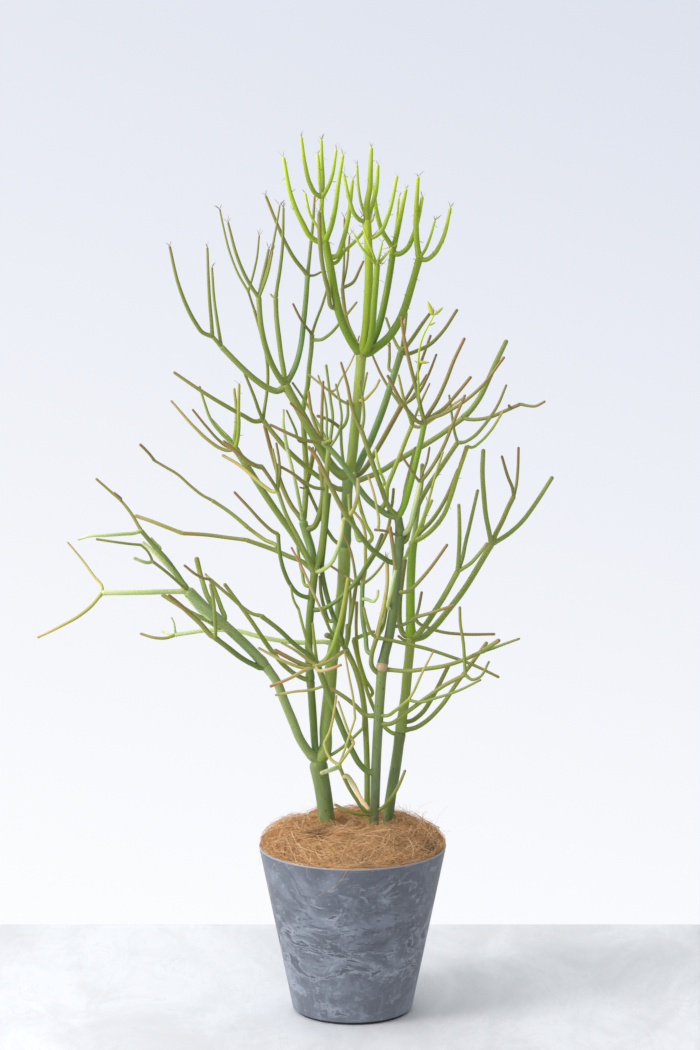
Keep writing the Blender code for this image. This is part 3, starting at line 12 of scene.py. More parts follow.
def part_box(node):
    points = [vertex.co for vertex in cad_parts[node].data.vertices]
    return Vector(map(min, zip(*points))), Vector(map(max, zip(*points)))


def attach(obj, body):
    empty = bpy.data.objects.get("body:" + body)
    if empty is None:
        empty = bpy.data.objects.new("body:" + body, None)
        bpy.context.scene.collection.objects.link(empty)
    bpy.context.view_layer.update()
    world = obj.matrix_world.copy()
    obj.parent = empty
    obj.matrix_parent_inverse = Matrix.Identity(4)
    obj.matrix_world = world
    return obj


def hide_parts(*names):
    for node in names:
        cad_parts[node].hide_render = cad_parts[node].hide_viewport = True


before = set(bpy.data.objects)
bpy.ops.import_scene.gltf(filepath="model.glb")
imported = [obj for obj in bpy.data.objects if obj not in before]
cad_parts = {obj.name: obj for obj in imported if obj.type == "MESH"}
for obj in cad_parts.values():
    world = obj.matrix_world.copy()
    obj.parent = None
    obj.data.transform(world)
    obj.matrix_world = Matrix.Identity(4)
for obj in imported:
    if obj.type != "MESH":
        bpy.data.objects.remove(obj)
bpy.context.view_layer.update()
cm = 0.01


def placed(name, data):
    thing = bpy.data.objects.new(name, data)
    bpy.context.scene.collection.objects.link(thing)
    return thing


def meshOf(name, shape):
    # the shape as a mesh with its faces turned outward
    mesh = bpy.data.meshes.new(name)
    bmesh.ops.recalc_face_normals(shape, faces=shape.faces)
    shape.to_mesh(mesh)
    shape.free()
    return mesh


def settled(thing, name):
    # the evaluated object as a plain mesh in its place, with no modifier left on it
    bpy.context.view_layer.update()
    evaluated = thing.evaluated_get(bpy.context.evaluated_depsgraph_get())
    mesh = bpy.data.meshes.new_from_object(evaluated)
    bpy.data.objects.remove(thing, do_unlink=True)
    mesh.name = name
    return placed(name, mesh)


def revolve(shape, outline, sides):
    # faces between rings round Z at each (radius, height); a height may be a function of x and y
    rings = []
    for radius, height in outline:
        ring = []
        for k in range(sides if radius > 1e-6 else 1):
            x, y = radius * math.cos(math.tau * k / sides), radius * math.sin(math.tau * k / sides)
            ring.append(shape.verts.new((x, y, height(x, y) if callable(height) else height)))
        rings.append(ring)
    for inner, outer in zip(rings, rings[1:]):
        for k in range(sides):
            j = (k + 1) % sides
            corners = [inner[k % len(inner)], outer[k % len(outer)], outer[j % len(outer)], inner[j % len(inner)]]
            shape.faces.new(list(dict.fromkeys(corners)))


class NodeWork:
    # the nodes of one tree, with a short call for each kind used here

    def __init__(self, tree):
        self.tree, self.nodes, self.links = tree, tree.nodes, tree.links

    def feed(self, socket, value):
        if hasattr(value, "is_linked"):
            self.links.new(value, socket)
        else:
            socket.default_value = value

    def put(self, kind, inputs={}, **values):
        # a node with its settings and then its inputs, each by name or number
        made = self.nodes.new(kind)
        for name, value in values.items():
            setattr(made, name, value)
        for name, value in inputs.items():
            self.feed(made.inputs[name], value)
        return made

    def calc(self, kind, a, b=0.0):
        return self.put("ShaderNodeMath", {0: a, 1: b}, operation=kind).outputs[0]

    def product(self, a, b):
        return self.calc("MULTIPLY", a, b)

    def total(self, first, *others):
        for other in others:
            first = self.calc("ADD", first, other)
        return first

    def parts(self, vector):
        return self.put("ShaderNodeSeparateXYZ", {0: vector}).outputs

    def joined(self, x, y, z):
        return self.put("ShaderNodeCombineXYZ", {"X": x, "Y": y, "Z": z}).outputs[0]

    def place(self):
        return self.nodes.new("ShaderNodeTexCoord").outputs["Object"]

    def attribute(self, name, output="Vector"):
        return self.put("ShaderNodeAttribute", attribute_name=name).outputs[output]

    def stretched(self, vector, scale, turn=(0, 0, 0)):
        return self.put("ShaderNodeMapping", {"Vector": vector, "Scale": scale, "Rotation": turn}).outputs["Vector"]

    def noise(self, vector, scale, detail=4, rough=0.5, twist=0.0, output="Fac"):
        return self.put("ShaderNodeTexNoise", {"Vector": vector, "Scale": scale, "Detail": detail,
                                               "Roughness": rough, "Distortion": twist}).outputs[output]

    def ranged(self, value, low, high, newLow=0.0, newHigh=1.0, curve="SMOOTHSTEP"):
        inputs = {"Value": value, "From Min": low, "From Max": high, "To Min": newLow, "To Max": newHigh}
        return self.put("ShaderNodeMapRange", inputs, interpolation_type=curve).outputs["Result"]

    def blended(self, amount, a, b, kind="MIX"):
        a, b = (value if hasattr(value, "is_linked") else (*value, 1) for value in (a, b))
        return self.put("ShaderNodeMix", {0: amount, 6: a, 7: b}, data_type="RGBA", blend_type=kind).outputs[2]

    def layered(self, base, *layers):
        # each layer: how much of it, its colour, and how it blends if not by mixing
        for amount, colour, *kind in layers:
            base = self.blended(amount, base, colour, *kind)
        return base

    def bumped(self, shader, height, distance, strength=1.0):
        bump = self.put("ShaderNodeBump", {"Height": height, "Distance": distance, "Strength": strength})
        self.links.new(bump.outputs["Normal"], shader.inputs["Normal"])


def newMaterial(name, inputs):
    # a material with the settings {input of its shader: value}
    material = bpy.data.materials.new(name)
    material.use_nodes = True
    work = NodeWork(material.node_tree)
    shader = work.nodes["Principled BSDF"]
    for label, value in inputs.items():
        shader.inputs[label].default_value = value
    return material, work, shader


stageValues = {
    "cameraPlace": (-0.0035, -5.6, 1.765),
    "cameraPitch": 10.9,      # degrees below the horizon
    "lens": 143.1,
    "tableEdge": 0.41,        # how far behind the pot the table ends
    "tableColour": (0.675, 0.685, 0.715),
    "airLow": ((0.978, 0.983, 0.996), (0.945, 0.955, 0.985)),    # left and right
    "airHigh": ((0.792, 0.818, 0.892), (0.728, 0.760, 0.848)),
    "roomColour": (0.97, 0.985, 1.0),
    "roomFront": 0.30,
    "roomAbove": (0.15, 0.80, 0.65),     # from, to, brightness
    "roomLeft": (0.10, -0.85, 0.75),
    "roomBehind": (0.10, 0.90, 0.40),
}


def makeCamera():
    camera = placed("camera", bpy.data.cameras.new("camera"))
    camera.data.lens = stageValues["lens"]
    camera.data.sensor_width = 36
    camera.location = stageValues["cameraPlace"]
    camera.rotation_euler = (math.radians(90 - stageValues["cameraPitch"]), 0, 0)
    bpy.context.scene.camera = camera


def areaLight(name, place, target, size, power, colour):
    lamp = placed(name, bpy.data.lights.new(name, "AREA"))
    lamp.data.shape = "DISK"
    lamp.data.size = size
    lamp.data.energy = power
    lamp.data.color = colour
    lamp.location = place
    lamp.rotation_euler = (Vector(target) - Vector(place)).to_track_quat("-Z", "Y").to_euler()


def makeAir():
    # the camera sees a pale backdrop, and the room lights the plant mostly from the left and above
    v = stageValues
    world = bpy.data.worlds.new("studioAir")
    bpy.context.scene.world = world
    world.use_nodes = True
    work = NodeWork(world.node_tree)
    work.nodes.clear()
    x, y, z = work.parts(work.put("ShaderNodeTexCoord").outputs["Generated"])
    across = work.ranged(x, -0.09, 0.09, 0, 1, "LINEAR")
    low, high = work.blended(across, *v["airLow"]), work.blended(across, *v["airHigh"])
    seen = work.blended(work.ranged(z, -0.285, -0.07, 0, 1, "LINEAR"), low, high)
    room = v["roomFront"]
    for part, (dark, bright, amount) in zip((z, x, y), (v["roomAbove"], v["roomLeft"], v["roomBehind"])):
        room = work.total(work.ranged(part, dark, bright, 0, amount), room)
    tint = work.put("ShaderNodeVectorMath", {0: v["roomColour"], "Scale": room}, operation="SCALE").outputs[0]
    toCamera = work.put("ShaderNodeLightPath").outputs["Is Camera Ray"]
    shine = work.put("ShaderNodeBackground", {"Color": work.blended(toCamera, tint, seen)})
    work.put("ShaderNodeOutputWorld", {"Surface": shine.outputs["Background"]})


def makeTable():
    edge = stageValues["tableEdge"]
    shape = bmesh.new()
    corners = [(-5, -7, 0), (5, -7, 0), (5, edge, 0), (-5, edge, 0)]
    top = shape.faces.new([shape.verts.new(corner) for corner in corners])
    made = bmesh.ops.extrude_face_region(shape, geom=[top])
    bmesh.ops.translate(shape, vec=(0, 0, -0.04),
                        verts=[v for v in made["geom"] if isinstance(v, bmesh.types.BMVert)])
    table = placed("table", meshOf("table", shape))
    table.data.materials.append(paleConcrete())


def paleConcrete():
    material, work, shader = newMaterial("paleConcrete", {"Roughness": 0.62})
    place = work.place()
    cloud = work.noise(work.stretched(place, (1, 0.5, 1)), 5.5, 9, 0.66, 0.8)
    trowel = work.noise(work.stretched(place, (1, 0.3, 1), (0, 0, 0.5)), 16, 7, 0.7, 1.6)
    fine = work.noise(place, 70, 6, 0.75)
    vein = work.calc("ABSOLUTE", work.calc("SUBTRACT", trowel, 0.44))
    light = stageValues["tableColour"]
    grey = tuple(value * 0.86 for value in light)
    dark = tuple(value * 0.66 for value in light)
    base = work.layered(grey, (work.ranged(cloud, 0.36, 0.62), light),
                        (work.ranged(trowel, 0.52, 0.60, 0, 0.30), grey),
                        (work.ranged(vein, 0.012, 0.0, 0, 0.34), dark),
                        (work.ranged(fine, 0.52, 0.78, 0, 0.3), grey))
    work.links.new(base, shader.inputs["Base Color"])
    work.bumped(shader, work.total(fine, trowel), 0.0008, 0.35)
    return material


potValues = {
    "rimRadius": 0.130,
    "footRadius": 0.0825,
    "height": 0.236,
    "wall": 0.004,
    "floor": 0.009,
    "underRadius": 0.079,
    "footGap": 0.004,
    "drainHoles": 4,
    "drainRadius": 0.007,
    "drainCircle": 0.045,
    "sides": 160,
}


def potRadius(height):
    v = potValues
    return v["footRadius"] + (v["rimRadius"] - v["footRadius"]) * height / v["height"]


def rounded(points, corners, steps=4):
    # the outline with each listed corner replaced by a small arc: {index: radius}
    out = []
    for i, point in enumerate(points):
        here = Vector(point)
        if i not in corners:
            out.append(here)
            continue
        before = (Vector(points[i - 1]) - here).normalized()
        after = (Vector(points[i + 1]) - here).normalized()
        for k in range(steps + 1):
            t = k / steps
            out.append(here + before * corners[i] * (1 - t) ** 2 + after * corners[i] * t ** 2)
    return out


def makePot():
    v = potValues
    wall, top, gap = v["wall"], v["height"], v["footGap"]
    points = [(0, v["floor"]), (potRadius(v["floor"]) - wall, v["floor"]), (v["rimRadius"] - wall, top),
              (v["rimRadius"], top), (potRadius(gap), gap), (v["underRadius"], gap), (v["underRadius"], 0), (0, 0)]
    shape = bmesh.new()
    revolve(shape, rounded(points, {1: 0.006, 2: 0.0014, 3: 0.0016, 4: 0.0012, 6: 0.0006}), v["sides"])
    pot = placed("marbledPot", meshOf("marbledPot", shape))
    drills = []
    for i in range(v["drainHoles"]):
        angle = math.tau * (i + 0.5) / v["drainHoles"]
        shape = bmesh.new()
        bmesh.ops.create_cone(shape, cap_ends=True, segments=32, radius1=v["drainRadius"],
                              radius2=v["drainRadius"], depth=0.04)
        bmesh.ops.translate(shape, verts=shape.verts,
                            vec=(v["drainCircle"] * math.cos(angle), v["drainCircle"] * math.sin(angle), 0))
        drills.append(placed("drainDrill", meshOf("drainDrill", shape)))
        hole = pot.modifiers.new("drain", "BOOLEAN")
        hole.operation = "DIFFERENCE"
        hole.object = drills[-1]
    plain = settled(pot, "marbledPot")
    for drill in drills:
        bpy.data.objects.remove(drill, do_unlink=True)
    plain.data.shade_smooth()
    plain.data.set_sharp_from_angle(angle=math.radians(35))
    plain.data.materials.clear()
    plain.data.materials.append(marbledSlate())
    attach(plain, "root")
    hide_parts("pot")


def marbledSlate():
    material, work, shader = newMaterial("marbledSlate", {"Specular IOR Level": 0.5})
    ranged, product, stretched = work.ranged, work.product, work.stretched
    place = work.place()
    z = work.parts(place)["Z"]
    # slow eddies bend every finer layer, as in a poured mix of two slips
    eddies = work.noise(stretched(place, (1, 1, 0.8)), 9, 3, output="Color")
    flow = work.put("ShaderNodeVectorMath", {0: eddies, 1: (0.09, 0.09, 0.07), 2: place},
                    operation="MULTIPLY_ADD").outputs[0]
    cloud = work.noise(stretched(flow, (1, 1, 1.4)), 13, 10, 0.68, 0.7)
    large = work.noise(place, 8, 2, 0.5, 0.6)
    lace = work.noise(stretched(flow, (1, 1, 0.8), (0.5, 0.6, 0)), 70, 8, 0.72, 1.6)
    grain = work.noise(stretched(place, (1, 1, 0.3)), 260, 4, 0.7)
    streaks = work.noise(stretched(place, (1, 1, 0.12)), 90, 4, 0.6, 0.5)
    # torn dark patches with a pale hem, half way up, and slanting flecks round them
    tear = work.noise(stretched(flow, (1, 1, 2.2), (0.25, -0.35, 0)), 19, 7, 0.66, 0.9)
    band = product(ranged(z, 0.050, 0.085), ranged(z, 0.150, 0.105))
    tear = work.total(tear, product(band, 0.085))
    tears = ranged(tear, 0.640, 0.668)
    hem = product(ranged(tear, 0.565, 0.640), ranged(tear, 0.668, 0.640))
    slant = work.noise(stretched(flow, (0.45, 0.6, 1.7), (0, 0.6, 0)), 120, 4, 0.55, 0.3)
    flake = work.noise(stretched(place, (0.7, 0.8, 1.3), (0, 0.6, 0)), 85, 6, 0.66, 0.9)
    middle = product(ranged(z, 0.045, 0.09), ranged(z, 0.225, 0.16))
    fleck = product(ranged(slant, 0.57, 0.62), middle)
    foot = product(ranged(streaks, 0.46, 0.72, 0.12, 0.45), ranged(z, 0.10, 0.035))
    lip = potValues["height"]
    base = work.layered(
        (0.102, 0.117, 0.150),
        (ranged(cloud, 0.40, 0.64), (0.245, 0.272, 0.338)),
        (ranged(large, 0.40, 0.62, 0, 0.55), (0.108, 0.123, 0.156)),
        (ranged(lace, 0.56, 0.74, 0, 0.55), (0.36, 0.39, 0.46)),
        (ranged(flake, 0.575, 0.625, 0, 0.42), (0.36, 0.39, 0.455)),
        (product(hem, 0.6), (0.38, 0.41, 0.48)),
        (product(tears, 0.85), (0.080, 0.092, 0.118)),
        (product(fleck, 0.72), (0.085, 0.098, 0.126)),
        (ranged(grain, 0.50, 0.8, 0, 0.25), (0.36, 0.385, 0.45)),
        (foot, (0.33, 0.365, 0.44)),
        (product(ranged(z, 0.205, 0.232), 0.45), (0.105, 0.120, 0.152)),
        (product(ranged(z, lip - 0.0030, lip - 0.0012), 0.75), (0.36, 0.385, 0.44)),
        # painted shadow: the lowest few millimetres of the wall and the recessed foot are turned near black, standing
        # in for the dark contact shadow under the pot
        (ranged(z, 0.0048, 0.0036), (0.03, 0.033, 0.04)))
    work.links.new(base, shader.inputs["Base Color"])
    work.feed(shader.inputs["Roughness"], ranged(cloud, 0.3, 0.7, 0.38, 0.54, "LINEAR"))
    relief = work.total(product(cloud, 0.5), product(work.total(tears, fleck), -0.4), product(grain, 0.12))
    work.bumped(shader, relief, 0.0012, 0.5)
    return material


class Growth(NodeWork):
    # a Geometry Nodes tree with its named inputs {name: (socket kind, value)}

    def __init__(self, name, inputs):
        super().__init__(bpy.data.node_groups.new(name, "GeometryNodeTree"))
        face = self.tree.interface
        face.new_socket(name="Geometry", in_out="INPUT", socket_type="NodeSocketGeometry")
        for label, (kind, value) in inputs.items():
            socket = face.new_socket(name=label, in_out="INPUT", socket_type="NodeSocket" + kind)
            if value is not None:
                socket.default_value = value
        face.new_socket(name="Geometry", in_out="OUTPUT", socket_type="NodeSocketGeometry")
        self.given = self.nodes.new("NodeGroupInput").outputs

    def step(self, kind, inputs, output="Geometry", **values):
        return self.put("GeometryNode" + kind, inputs, **values).outputs[output]

    def named(self, label, kind="FLOAT"):
        return self.step("InputNamedAttribute", {"Name": label}, "Attribute", data_type=kind)

    def kept(self, geometry, label, kind, value):
        # the geometry with the value stored on its points
        return self.step("StoreNamedAttribute", {"Geometry": geometry, "Name": label, "Value": value},
                         data_type=kind, domain="POINT")

    def tube(self, curve, radius, sides, marked=False):
        # a closed tube of that radius along the curve; if marked, "lobe" is the place on its ring
        ring = self.step("CurvePrimitiveCircle", {"Resolution": sides, "Radius": 1.0}, "Curve")
        if marked:
            ring = self.kept(ring, "lobe", "FLOAT_VECTOR", self.step("InputPosition", {}, "Position"))
        curve = self.step("SetCurveRadius", {"Curve": curve, "Radius": radius}, "Curve")
        return self.step("CurveToMesh", {"Curve": curve, "Profile Curve": ring, "Scale": radius,
                                         "Fill Caps": True}, "Mesh")

    def finish(self, geometry, material):
        real = self.step("RealizeInstances", {"Geometry": geometry})
        smooth = self.step("SetShadeSmooth", {"Geometry": real})
        painted = self.step("SetMaterial", {"Geometry": smooth, "Material": material})
        self.put("NodeGroupOutput", {"Geometry": painted})

    def run(self, thing, values, name):
        # runs the tree on the object and returns the result as a plain mesh object
        modifier = thing.modifiers.new(name, "NODES")
        modifier.node_group = self.tree
        for item in self.tree.interface.items_tree:
            if item.item_type == "SOCKET" and item.in_out == "INPUT" and item.name in values:
                modifier[item.identifier] = values[item.name]
        return settled(thing, name)


def meshWith(name, points, edges, columns):
    # a mesh of points and edges with one attribute for each column {name: (kind, values)}
    mesh = bpy.data.meshes.new(name)
    mesh.from_pydata(points, edges, [])
    for label, (kind, values) in columns.items():
        layer = mesh.attributes.new(label, kind, "POINT")
        field = {"FLOAT": "value", "FLOAT_VECTOR": "vector", "FLOAT_COLOR": "color"}[kind]
        flat = values if kind == "FLOAT" else [number for value in values for number in value]
        layer.data.foreach_set(field, flat)
    return placed(name, mesh)


eye = (-0.35, -560, 176.5)   # in centimetres: the standpoint of the front elevation
footDepth = {"stem_left": -1.0, "stem_middle": -1.8, "stem_back": 1.2, "stem_right": 1.0}

# A branch: its finish, a name if others grow from it, the branch it grows from, its
# radius at foot and tip, how far back its tip lies from its foot, and its points
# (x, z) on the front elevation, all in centimetres.
stemLeftRows = [
    ("s", "a", "", 1.15, 1.14, 0.5, (-3.6, 17.5), (-3.6, 27.2), (-3.9, 30), (-4.8, 35.4)),
    ("t", "a1", "a", 0.62, 0.62, -3, (-5.7, 36.3), (-7.2, 38.5), (-8.2, 41), (-9.4, 44), (-10.4, 46.6),
      (-12.1, 49.1)),
    ("t", "a1a", "a1", 0.66, 0.71, -3, (-13.8, 51), (-15.5, 52.7), (-17.4, 54.5), (-20, 56.9), (-22.6, 59.5)),
    ("m", "", "a1a", 0.35, 0.28, 3, (-17.6, 55.6), (-18, 57), (-18.6, 58.7), (-19.5, 61.2)),
    ("m", "", "a1a", 0.35, 0.35, 5, (-19.4, 57), (-20.1, 59.2), (-20.9, 62), (-21.4, 64.2)),
    ("m", "", "a1a", 0.35, 0.28, 3, (-18, 54.4), (-19.8, 55.3), (-22, 56.3), (-24, 57.6), (-26.2, 59)),
    ("p", "a1p", "a1a", 0.36, 0.35, 2, (-19.2, 55.6), (-20.5, 56.4), (-21.8, 57.8), (-23, 59.3)),
    ("p", "a1l", "a1a", 0.36, 0.34, -2, (-23.6, 59.4), (-26, 59.35), (-29, 59.25), (-32, 59.2), (-34.3, 59.2)),
    ("y", "", "a1l", 0.19, 0.12, 3, (-34.3, 60), (-35.4, 61.5), (-37, 63.8), (-39, 66.3)),
    ("y", "", "a1l", 0.26, 0.16, -3, (-34.8, 58.6), (-35.8, 57.4), (-37.5, 56), (-40.5, 54.3), (-43.3, 52.9)),
    ("d", "a1u", "a1a", 0.42, 0.28, 2, (-23.2, 60.4), (-24.2, 62), (-25.6, 64), (-27.2, 65.8), (-28.9, 67.9)),
    ("n", "a1t", "a1u", 0.24, 0.16, 2, (-29.4, 68.8), (-30.2, 70.2), (-31.4, 71.8), (-33, 73.3), (-35, 75.1)),
    ("n", "", "a1t", 0.17, 0.12, -1.5, (-31.6, 72.2), (-32.1, 72.8), (-32.6, 73.2)),
    ("p", "", "a1u", 0.26, 0.15, -3, (-29.6, 67.6), (-31.5, 67.4), (-34, 67.2), (-36, 67.1), (-37.6, 66.6)),
    ("m", "", "a1u", 0.18, 0.15, 2, (-26.3, 65.3), (-27, 66.2), (-27.6, 66.9)),
    ("p", "", "a1p", 0.33, 0.25, -3, (-23.4, 60.7), (-24.7, 62.3), (-26.2, 63.9), (-27.6, 65.3), (-28.8, 66.3)),
    ("o", "a1s", "a1a", 0.2, 0.21, -4.5, (-23.5, 60.3), (-24.9, 61.6), (-26.1, 62.6), (-27.4, 63.6)),
    ("o", "a1r", "a1s", 0.17, 0.16, -1, (-27.6, 64.2), (-28.2, 65.2), (-29, 65.9)),
    ("o", "", "a1r", 0.18, 0.16, -2, (-30.2, 66), (-32.5, 66.3), (-35.1, 66.7)),
    ("p", "", "a1s", 0.24, 0.21, -2.5, (-28, 63.4), (-28.8, 63.6), (-30, 64.1)),
    ("d", "a1b", "a1", 0.38, 0.35, -3, (-12.5, 48.7), (-13.6, 49.1), (-15.5, 50.2), (-17, 51.4), (-18.9, 52.9)),
    ("n", "", "a1b", 0.35, 0.25, 0.5, (-19.4, 53.2), (-20.8, 54.8), (-22.5, 56.4), (-24, 57.8), (-25.3, 58.9)),
    ("m", "", "a1b", 0.26, 0.21, -3, (-18.8, 53.9), (-18.9, 55.5), (-19, 57.5), (-19.5, 60.5)),
    ("d", "a2", "a", 0.5, 0.54, 1, (-5.1, 37), (-5.4, 41), (-5.6, 44), (-5.8, 46.9)),
    ("d", "a2b", "a2", 0.55, 0.52, 1, (-6, 50), (-6, 53), (-5.85, 56), (-5.5, 59.5), (-5.2, 62.2)),
    ("m", "", "a2", 0.33, 0.25, -5, (-6.6, 47.1), (-7.8, 47.7), (-9.2, 48.8), (-11, 50.9), (-14, 55.4),
      (-17.6, 60.5)),
    ("d", "a2j", "a2b", 0.3, 0.27, -3, (-6.4, 58.6), (-7.4, 59), (-8.5, 60.3), (-9.3, 62), (-9.9, 64.3),
      (-10.2, 67.4)),
    ("n", "", "a2j", 0.24, 0.18, -1, (-10.8, 67.7), (-12.2, 68.9), (-14, 70.9), (-16.2, 73.3)),
    ("m", "", "a2b", 0.24, 0.18, 3, (-6.4, 60.2), (-6.9, 62), (-7.4, 64.6), (-7.7, 67.8)),
    ("d", "a2r", "a2b", 0.3, 0.25, -2.4, (-5.1, 56.8), (-4.2, 56.9), (-3, 57.5), (-1.6, 58.6), (0, 60.2),
      (1.1, 61.7), (2.1, 63.5), (3.2, 65.3), (4.1, 67.5)),
    ("o", "a2l", "a2b", 0.34, 0.29, 2, (-6, 62.8), (-6.8, 63.5), (-8.5, 64.2), (-11, 65.3), (-14.6, 66.6)),
    ("n", "a2m", "a2l", 0.26, 0.26, 1, (-17, 66.9), (-20, 67.3), (-23.2, 67.5)),
    ("y", "", "a2m", 0.28, 0.25, -1, (-24, 67.8), (-25.5, 68.4), (-27.5, 69.2), (-29.8, 70)),
    ("o", "a2n", "a2l", 0.28, 0.26, 3, (-10.4, 65.6), (-12, 66.6), (-13.4, 67.6), (-14.3, 68.3)),
    ("o", "a2o", "a2n", 0.27, 0.25, 1, (-15.4, 69.3), (-17, 70.6), (-19.2, 72.1)),
    ("n", "a2p", "a2o", 0.2, 0.18, 1, (-20.5, 72.8), (-22, 74), (-24, 75.8), (-25.5, 76.7), (-27, 77.6)),
    ("n", "", "a2p", 0.2, 0.2, -1, (-27.5, 78.3), (-28.2, 79.1), (-29, 79.9)),
    ("u", "a2u", "a2b", 0.62, 0.57, 3, (-5.4, 63.5), (-5.7, 65.4), (-6.3, 67.4), (-6.8, 69.2)),
    ("m", "a2v", "a2u", 0.42, 0.37, 3.5, (-6.6, 70.4), (-6.4, 73), (-6.3, 76), (-6.5, 79.5), (-6.8, 84.5)),
    ("m", "a6", "a2v", 0.34, 0.31, -1, (-6.5, 86), (-6.1, 88), (-5.9, 90.5), (-5.6, 93), (-5.5, 95)),
    ("n", "", "a6", 0.21, 0.15, -3, (-6, 95.6), (-7, 97), (-8.1, 99.2)),
    ("o", "", "a6", 0.2, 0.15, 3, (-5, 96.6), (-4, 99.3), (-3.1, 102.6)),
    ("o", "", "a6", 0.24, 0.15, -5, (-5.1, 94.2), (-4.4, 94.2), (-3.2, 94.9), (-1.5, 96.8), (0.6, 99.4)),
    ("o", "", "a2u", 0.41, 0.38, -2, (-6, 68.1), (-5.3, 68.4), (-4.8, 69.3), (-4.3, 71), (-4, 74), (-4.4, 77)),
    ("n", "", "a2u", 0.33, 0.25, 3, (-7.3, 69.9), (-8.2, 71.1), (-9.4, 73.5), (-10.3, 76.2), (-11.2, 79.4),
      (-12, 82.6)),
    ("p", "a2x", "a2u", 0.26, 0.23, -2, (-7, 70.4), (-7.4, 72.6), (-7.9, 75), (-8.9, 79.2)),
    ("p", "", "a2x", 0.24, 0.18, -1, (-9.2, 81), (-9.45, 83), (-9.4, 84.7)),
    ("m", "", "a2v", 0.18, 0.14, -4, (-7.1, 80.2), (-7.8, 81.9), (-9, 84.6)),
    ("m", "a2q", "a2b", 0.45, 0.47, -1, (-5.9, 63.6), (-7, 65.5), (-8.3, 67.6), (-10, 70), (-12, 73), (-14, 76.2),
      (-16, 79.3)),
    ("y", "", "a2q", 0.26, 0.15, -3, (-16.9, 79), (-18, 79.3), (-19.5, 80.3), (-21.5, 82.2), (-24.7, 85.9)),
    ("n", "", "a2q", 0.21, 0.15, -1, (-17, 79.5), (-18.3, 80.5), (-19.8, 82.2), (-21.8, 84.7)),
    ("m", "", "a2q", 0.24, 0.15, 2, (-16.6, 80.1), (-17.8, 81.3), (-19.3, 83.3), (-20.1, 85.5), (-20.8, 87.9)),
    ("m", "", "a2q", 0.17, 0.12, 3.5, (-16.5, 80.4), (-17.8, 81.8), (-19.4, 83.6)),
    ("l", "", "a2q", 0.27, 0.18, 4, (-16.1, 80.4), (-15.9, 82), (-15.8, 84.5), (-16.1, 87.6)),
    ("l", "", "a2q", 0.27, 0.18, -3, (-15.7, 80.3), (-15.5, 82), (-15.5, 84.5), (-15.4, 88.2)),
    ("m", "a2s", "a2b", 0.3, 0.26, -4, (-5.8, 63.4), (-6.6, 65.2), (-7.7, 67.4), (-8.9, 69.7), (-10.2, 73.4)),
    ("n", "a2t", "a2s", 0.25, 0.26, -1.5, (-10.6, 74.1), (-11.3, 75.2), (-12.3, 76.7)),
    ("n", "", "a2t", 0.32, 0.28, -2, (-12.9, 76.8), (-14, 77.3), (-15.8, 78.8), (-17.7, 80.3)),
    ("y", "", "a2s", 0.26, 0.2, 2, (-10.8, 73.3), (-12, 74), (-13.6, 75.4), (-15.5, 77), (-17.8, 78.4)),
    ("n", "", "a2s", 0.21, 0.16, 1, (-10.1, 74.4), (-9.9, 75.8), (-10, 77.6), (-10.4, 80.1)),
    ("m", "", "a2s", 0.18, 0.15, -2, (-10.3, 75), (-10.4, 76.8), (-10.9, 79.3)),
    ("p", "a2z", "a2b", 0.3, 0.28, -4, (-4.6, 62.2), (-3.8, 62.6), (-2.9, 63.4), (-2.2, 64.9), (-1.6, 67),
      (-1.3, 69.3)),
    ("y", "", "a2z", 0.29, 0.25, -3.5, (-0.8, 69.7), (-0.1, 70.4), (0.45, 71.7), (0.75, 73.3), (0.75, 75.2)),
    ("m", "a2e", "a2b", 0.42, 0.35, -1, (-4.8, 63.3), (-4.3, 65.4), (-4, 68), (-3.75, 71), (-3.6, 74), (-3.45, 77),
      (-3.2, 79.3)),
    ("m", "e1", "a2e", 0.25, 0.17, 2, (-2.9, 81.5), (-2.7, 83.5), (-3, 86), (-3.3, 88.5), (-3.6, 90.8)),
    ("y", "", "e1", 0.15, 0.11, 3, (-2.6, 87.2), (-1.6, 88.8), (-0.6, 90.4), (0.3, 92.4), (0.9, 94.8)),
    ("m", "", "a2e", 0.18, 0.12, -2, (-3.5, 81.3), (-3.5, 84), (-3.9, 86.8), (-4.7, 89.4)),
    ("m", "", "a2e", 0.2, 0.15, 3, (-4, 81.4), (-5, 83.2), (-6.4, 85.7), (-8.2, 88.4)),
    ("m", "", "a2e", 0.19, 0.15, -2, (-2.2, 80.8), (-1.5, 83), (-1.7, 85.5), (-2.3, 88.2)),
    ("n", "", "a2e", 0.24, 0.19, -2, (-5, 73.8), (-6.3, 74.4), (-8, 75.7), (-10.6, 77.2)),
    ("g", "a3", "a", 0.88, 0.85, 5, (-3.9, 36.8), (-3.7, 40), (-3.2, 45), (-2.8, 50), (-2, 54), (-1.5, 58),
      (-1.2, 62), (-1.1, 65.6)),
    ("u", "a3b", "a3", 0.74, 0.73, 0.5, (-0.9, 68), (-0.8, 71), (-0.75, 73.2), (-0.6, 75.3)),
    ("g", "a3c", "a3b", 0.7, 0.69, -0.5, (-0.1, 78), (0.15, 80.5), (0.5, 84), (0.85, 88), (1.2, 92.4)),
    ("m", "", "a3", 0.38, 0.43, -1.6, (-3.1, 53.1), (-3.8, 53.3)),
    ("p", "a3l", "a3", 0.32, 0.29, 4, (-3.8, 52.3), (-6.5, 52.2), (-10, 52.5), (-13, 53.1), (-15.5, 53.8), (-18, 54),
      (-20.5, 53.9), (-22.5, 53.6), (-24.4, 53.3)),
    ("p", "", "a3l", 0.17, 0.12, 0, (-24.4, 54), (-24.5, 54.9), (-24.9, 55.8)),
    ("y", "", "a3l", 0.24, 0.18, -2, (-25.4, 52.9), (-27.2, 52.9), (-29.2, 53.5)),
    ("p", "", "a3l", 0.18, 0.15, 1.5, (-25.2, 53.4), (-26.2, 53.8)),
